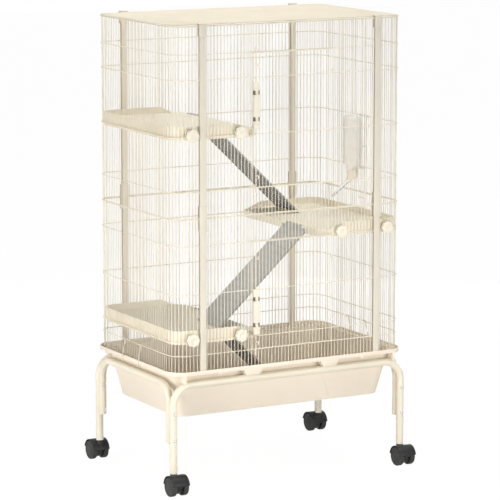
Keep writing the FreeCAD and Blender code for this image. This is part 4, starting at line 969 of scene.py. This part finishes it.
def knobShape(x, level, rise, radius, depth, lobes, share, count, back, hub, step, stud, studEnd):
    # Broad lobes with narrow dips between them, and a slightly raised hub
    z, low = level + rise, depth - 0.5
    points = []
    for number in range(count):
        turn = 2 * pi * number / count
        dip = 1 - abs(cos(lobes * turn / 2)) ** 0.8
        reach = radius * (1 - share * dip)
        points.append((x + reach * cos(turn), back, z + reach * sin(turn)))
    grip = soften(outlinePrism(points, (0, step - depth, 0)), 1.4, 3, 50)
    boss = turned([(hub, 4), (hub, low), (hub - 0.6, depth), (hub - 3, depth), (hub - 4, low), (1, low)], 40)
    pin = turned([(stud, 0), (stud, studEnd - back + 1.4), (stud - 0.5, studEnd - back + 2)], 20)
    return joined(grip, standOn(boss, (x, back, z), (0, -1, 0)), standOn(pin, (x, back - 2, z), (0, 1, 0)))


for name, side, level, rampAt, knobs in levels:
    finishPiece(platformBody(side, level, rampAt, knobs, **platform), name + "PlatformTray", creamPlastic,
                "cage", name + "_platform", smooth=32)
    for column, x in zip(("left", "right"), knobs):
        finishPiece(knobShape(x, level, **knobPlan), name + column.title() + "Knob", creamPlastic,
                    f"{name}_{column}_knob", f"{name}_platform_{column}_knob", smooth=30)
print("platforms done")


# Ramps

rampPlan = dict(
    half=68, board=4, pitch=24, ribTop=2, ribHalf=2.5, wall=2.5, hookHalf=45, hookDepth=6,
    hookPlay=2.5, hookRise=1.2, gap=0.3, skin=1.8, web=2.8, cellPitch=14, cellRows=6, lipRise=12)
# Drop from the platform's lip, angle, and height of the floor below
slopes = ((4, 43.7, 721.501), (14, 42.1, 448.019), (8, 43.7, 211.6))


def rampShape(side, level, centreY, drop, angle, floorZ, half, board, pitch, ribTop, ribHalf, wall, hookHalf,
              hookDepth, hookPlay, hookRise, gap, skin, web, cellPitch, cellRows, lipRise):
    edgeX, way, lipZ, turn = side * platform["edgeX"], -side, level + lipRise, radians(angle)
    topZ = lipZ - drop
    length = (topZ - floorZ - gap - board * cos(turn)) / sin(turn)

    def inSlope(piece):
        # From level, with its start at the origin, down the slope from the platform's edge
        placed(piece, Matrix.Translation((edgeX + way * gap, centreY, topZ))
               @ Matrix.Scale(way, 4, (1, 0, 0)) @ Matrix.Rotation(turn, 4, "Y"))
        return faceOutward(piece) if way < 0 else piece

    def profile(points, across):
        outline = [(edgeX + way * x, centreY - across, z) for x, z in points]
        return outlinePrism(outline, (0, 2 * across, 0), 0.5)

    # A skin with side rails; its underside is hollow, with crossed ribs over a near-black web, which is
    # painted shade for the shade in its cells
    plank = [slab(0, length, -half, half, -skin, 0, 0.6)]
    plank += [slab(0, length, sign * half, sign * (half - 2.2), -board, 0, 0.6) for sign in (-1, 1)]
    for step in range(1, cellRows):
        y = -half + step * 2 * half / cellRows
        plank.append(slab(2, length - 1, y - 0.7, y + 0.7, -board, -skin + 0.2))
    plank.append(repeat(slab(4, 5.4, -half + 1, half - 1, -board + 0.1, -skin + 0.2),
                        int((length - 6) / cellPitch), (cellPitch, 0, 0)))
    plank.append(slab(length - 2, length, -half + 1, half - 1, -board, -skin + 0.2, 0.3))
    under = inSlope(slab(1.5, length - 1.5, -half + 1.5, half - 1.5, -web, -skin + 0.3))
    outline = [(-ribHalf, -0.5), (-ribHalf + 0.6, 0.6), (-1, ribTop), (1, ribTop), (ribHalf - 0.6, 0.6),
               (ribHalf, -0.5)]
    rib = outlinePrism([(pitch + x, -half + 5, z) for x, z in outline], (0, 2 * half - 10, 0), 0.3)
    repeat(rib, int((length - pitch / 2) / pitch), (pitch, 0, 0))
    # The hook over the platform's lip, and an apron where the ramp hangs below the hook's end
    hookIn, hookTop, hookFoot = -wall - hookPlay, lipZ + gap, lipZ - hookDepth
    low, high, fall = topZ - board / cos(turn), hookTop + hookRise, wall * tan(turn)
    made = [inSlope(joined(*plank)), inSlope(rib),
            profile([(gap, low), (gap, hookTop), (hookIn, hookTop), (hookIn, hookFoot),
                     (hookIn - wall, hookFoot), (hookIn - wall, high), (gap + wall, high),
                     (gap + wall, topZ - fall)], hookHalf)]
    if drop > hookDepth:
        made.append(profile([(gap, low), (gap, hookFoot), (gap + wall - 0.4, hookFoot),
                             (gap + wall - 0.4, topZ - fall)], half))
    return joined(*made), under


for (name, side, level, rampAt, knobs), slope in zip(levels, slopes):
    board, under = rampShape(side, level, rampAt, *slope, **rampPlan)
    finishPiece(board, name + "RampBoard", greyPlastic, name + "_ramp_board", name + "_ramp", smooth=30)
    finishPiece(under, name + "RampShadeWeb", paintedShadeWebPlastic, name + "_ramp_board", smooth=30)
print("ramps done")


# Tray clips

clipPlan = dict(
    radius=1.2, pivotX=375.7, pivotZ=396.012, eye=2.6, bend=1.35, lipX=387, bendZ=353, hookZ=337.8,
    hookX=382, tabZ=333.2, tab=5.3)


def clipWire(side, y, radius, pivotX, pivotZ, eye, bend, lipX, bendZ, hookZ, hookX, tabZ, tab):
    # An eye over the lowest rail, a slanting leg, and a hook under the tray's lip
    left, right, low, high = pivotX - eye, pivotX + eye, pivotZ - eye, pivotZ + eye
    path = [(left, low), (left, high), (right, high), (right, low), (lipX, bendZ), (lipX, hookZ),
            (hookX, hookZ), (hookX, tabZ), (hookX + tab, tabZ)]
    return bentBar([(side * x, y, z) for x, z in path], radius, bend, 10, 4)


for column, side in (("left", -1), ("right", 1)):
    for row, y in (("front", -38.889), ("rear", 61.111)):
        finishPiece(clipWire(side, y, **clipPlan), column + row.title() + "ClipWire", creamTube,
                    f"{column}_{row}_clip", f"{column}_{row}_tray_clip", smooth=50)


# Water bottle, cap, spout and holder

bottleX, bottleY = 336.5, -27.778
bottle = dict(radius=30, wall=1.6, top=1021, shoulder=878, neck=13.5, neckZ=859, mouth=846)
bottleCap = dict(radius=16, foot=830, ridges=24)
spout = dict(radius=4, length=87, ball=2.6)
spoutTurn = radians(36)
spoutWay = Vector((-cos(spoutTurn), 0, -sin(spoutTurn)))
spoutStart = Vector((bottleX, bottleY, 834))


def bottleBody(radius, wall, top, shoulder, neck, neckZ, mouth):
    outside = [(10, top), (19, top - 0.5), (23.5, top - 1.8), (27.5, top - 4.4), (29.4, top - 7.4),
               (radius, top - 11), (radius, top - 46), (radius - 0.8, top - 48), (radius - 0.8, top - 51),
               (radius, top - 53), (radius, shoulder + 14), (radius - 0.9, shoulder + 12),
               (radius - 0.9, shoulder + 10), (radius, shoulder + 8), (radius, shoulder + 2),
               (radius - 2.2, shoulder - 2.6), (radius - 7, shoulder - 7.5), (neck + 3.4, neckZ + 3.8),
               (neck + 0.6, neckZ + 1), (neck, neckZ - 1), (neck, mouth)]
    inside = [(max(r - wall, 4), min(z if z > shoulder + 5 else z + 0.6, top - wall))
              for r, z in outside[::-1]]
    return moved(turned(outside + inside, 48), (bottleX, bottleY, 0))


def capBody(radius, foot, ridges):
    cap = turned([(8, foot), (radius - 1.6, foot), (radius - 0.6, foot + 0.9), (radius - 0.5, foot + 25.4),
                  (radius - 1, foot + 26.6), (13.8, foot + 27), (13.8, foot + 8)], 48)
    ridge = slab(radius - 1, radius, -0.7, 0.7, foot + 3, foot + 24, 0.4)
    turns = [360 / ridges * step for step in range(ridges)]
    return joined(moved(cap, (bottleX, bottleY, 0)), *copies(ridge, [(bottleX, bottleY, 0)], turns))


def spoutBody(radius, length, ball):
    tube = turned([(radius - 1, 4), (radius - 0.2, 4), (radius, 5), (radius, length - 6),
                   (radius - 0.5, length - 1.2), (radius - 1.1, length), (radius - 1.5, length - 0.4),
                   (radius - 1, length - 3)], 28, closed=True)
    tip = newShape(bpy.ops.mesh.primitive_uv_sphere_add, segments=20, ring_count=12, radius=ball,
                   location=spoutStart + spoutWay * (length - 3.2))
    return joined(standOn(tube, spoutStart, spoutWay), tip)


finishPiece(bottleBody(**bottle), "bottleShell", bottlePlastic, "bottle", "water_bottle", smooth=45)
finishPiece(capBody(**bottleCap), "bottleScrewCap", creamPlastic, "bottle", "bottle_cap", smooth=35)
finishPiece(spoutBody(**spout), "bottleSpoutTube", spoutSteel, "bottle", "bottle_spout", smooth=45)
collar = turned([(4.1, 12), (7, 12), (7.4, 13), (6.2, 21), (4.1, 23)], closed=True)
finishPiece(standOn(collar, spoutStart, spoutWay), "bottleNozzleCollar", creamPlastic, "bottle", smooth=35)

holder = dict(
    radius=1.2, x=370.9, footZ=768, railZ=1016.037, hookX=378.5, hookDrop=9, bend=1.9, play=0.3,
    ringZ=926, ringRadius=31.8, halfY=22.222, armY=17.7, armX=320, armZ=860.5)


def holderWires(radius, x, footZ, railZ, hookX, hookDrop, bend, play, ringZ, ringRadius, halfY, armY,
                armX, armZ):
    # Two uprights hooked over a rail, two arms under the shoulder, cross wires and a ring
    over = railZ + wires["thick"] + play + radius
    made = []
    for sign in (-1, 1):
        y, reachY = bottleY + sign * halfY, bottleY + sign * armY
        made += [bentBar([(x, y, footZ), (x, y, over), (hookX, y, over), (hookX, y, over - hookDrop)],
                         radius, bend, 10, 4),
                 bentBar([(armX, reachY, armZ), (x, reachY, armZ)], radius)]
    for z in (armZ, footZ + radius, ringZ):
        made.append(bentBar([(x, bottleY - halfY, z), (x, bottleY + halfY, z)], radius))
    ring = newShape(bpy.ops.mesh.primitive_torus_add, major_segments=48, minor_segments=10,
                    major_radius=ringRadius, minor_radius=radius, location=(bottleX, bottleY, ringZ))
    return joined(*made, ring)


finishWires(holderWires(**holder), "bottleHolderWires", "cage", "bottle_holder")
print("bottle done")
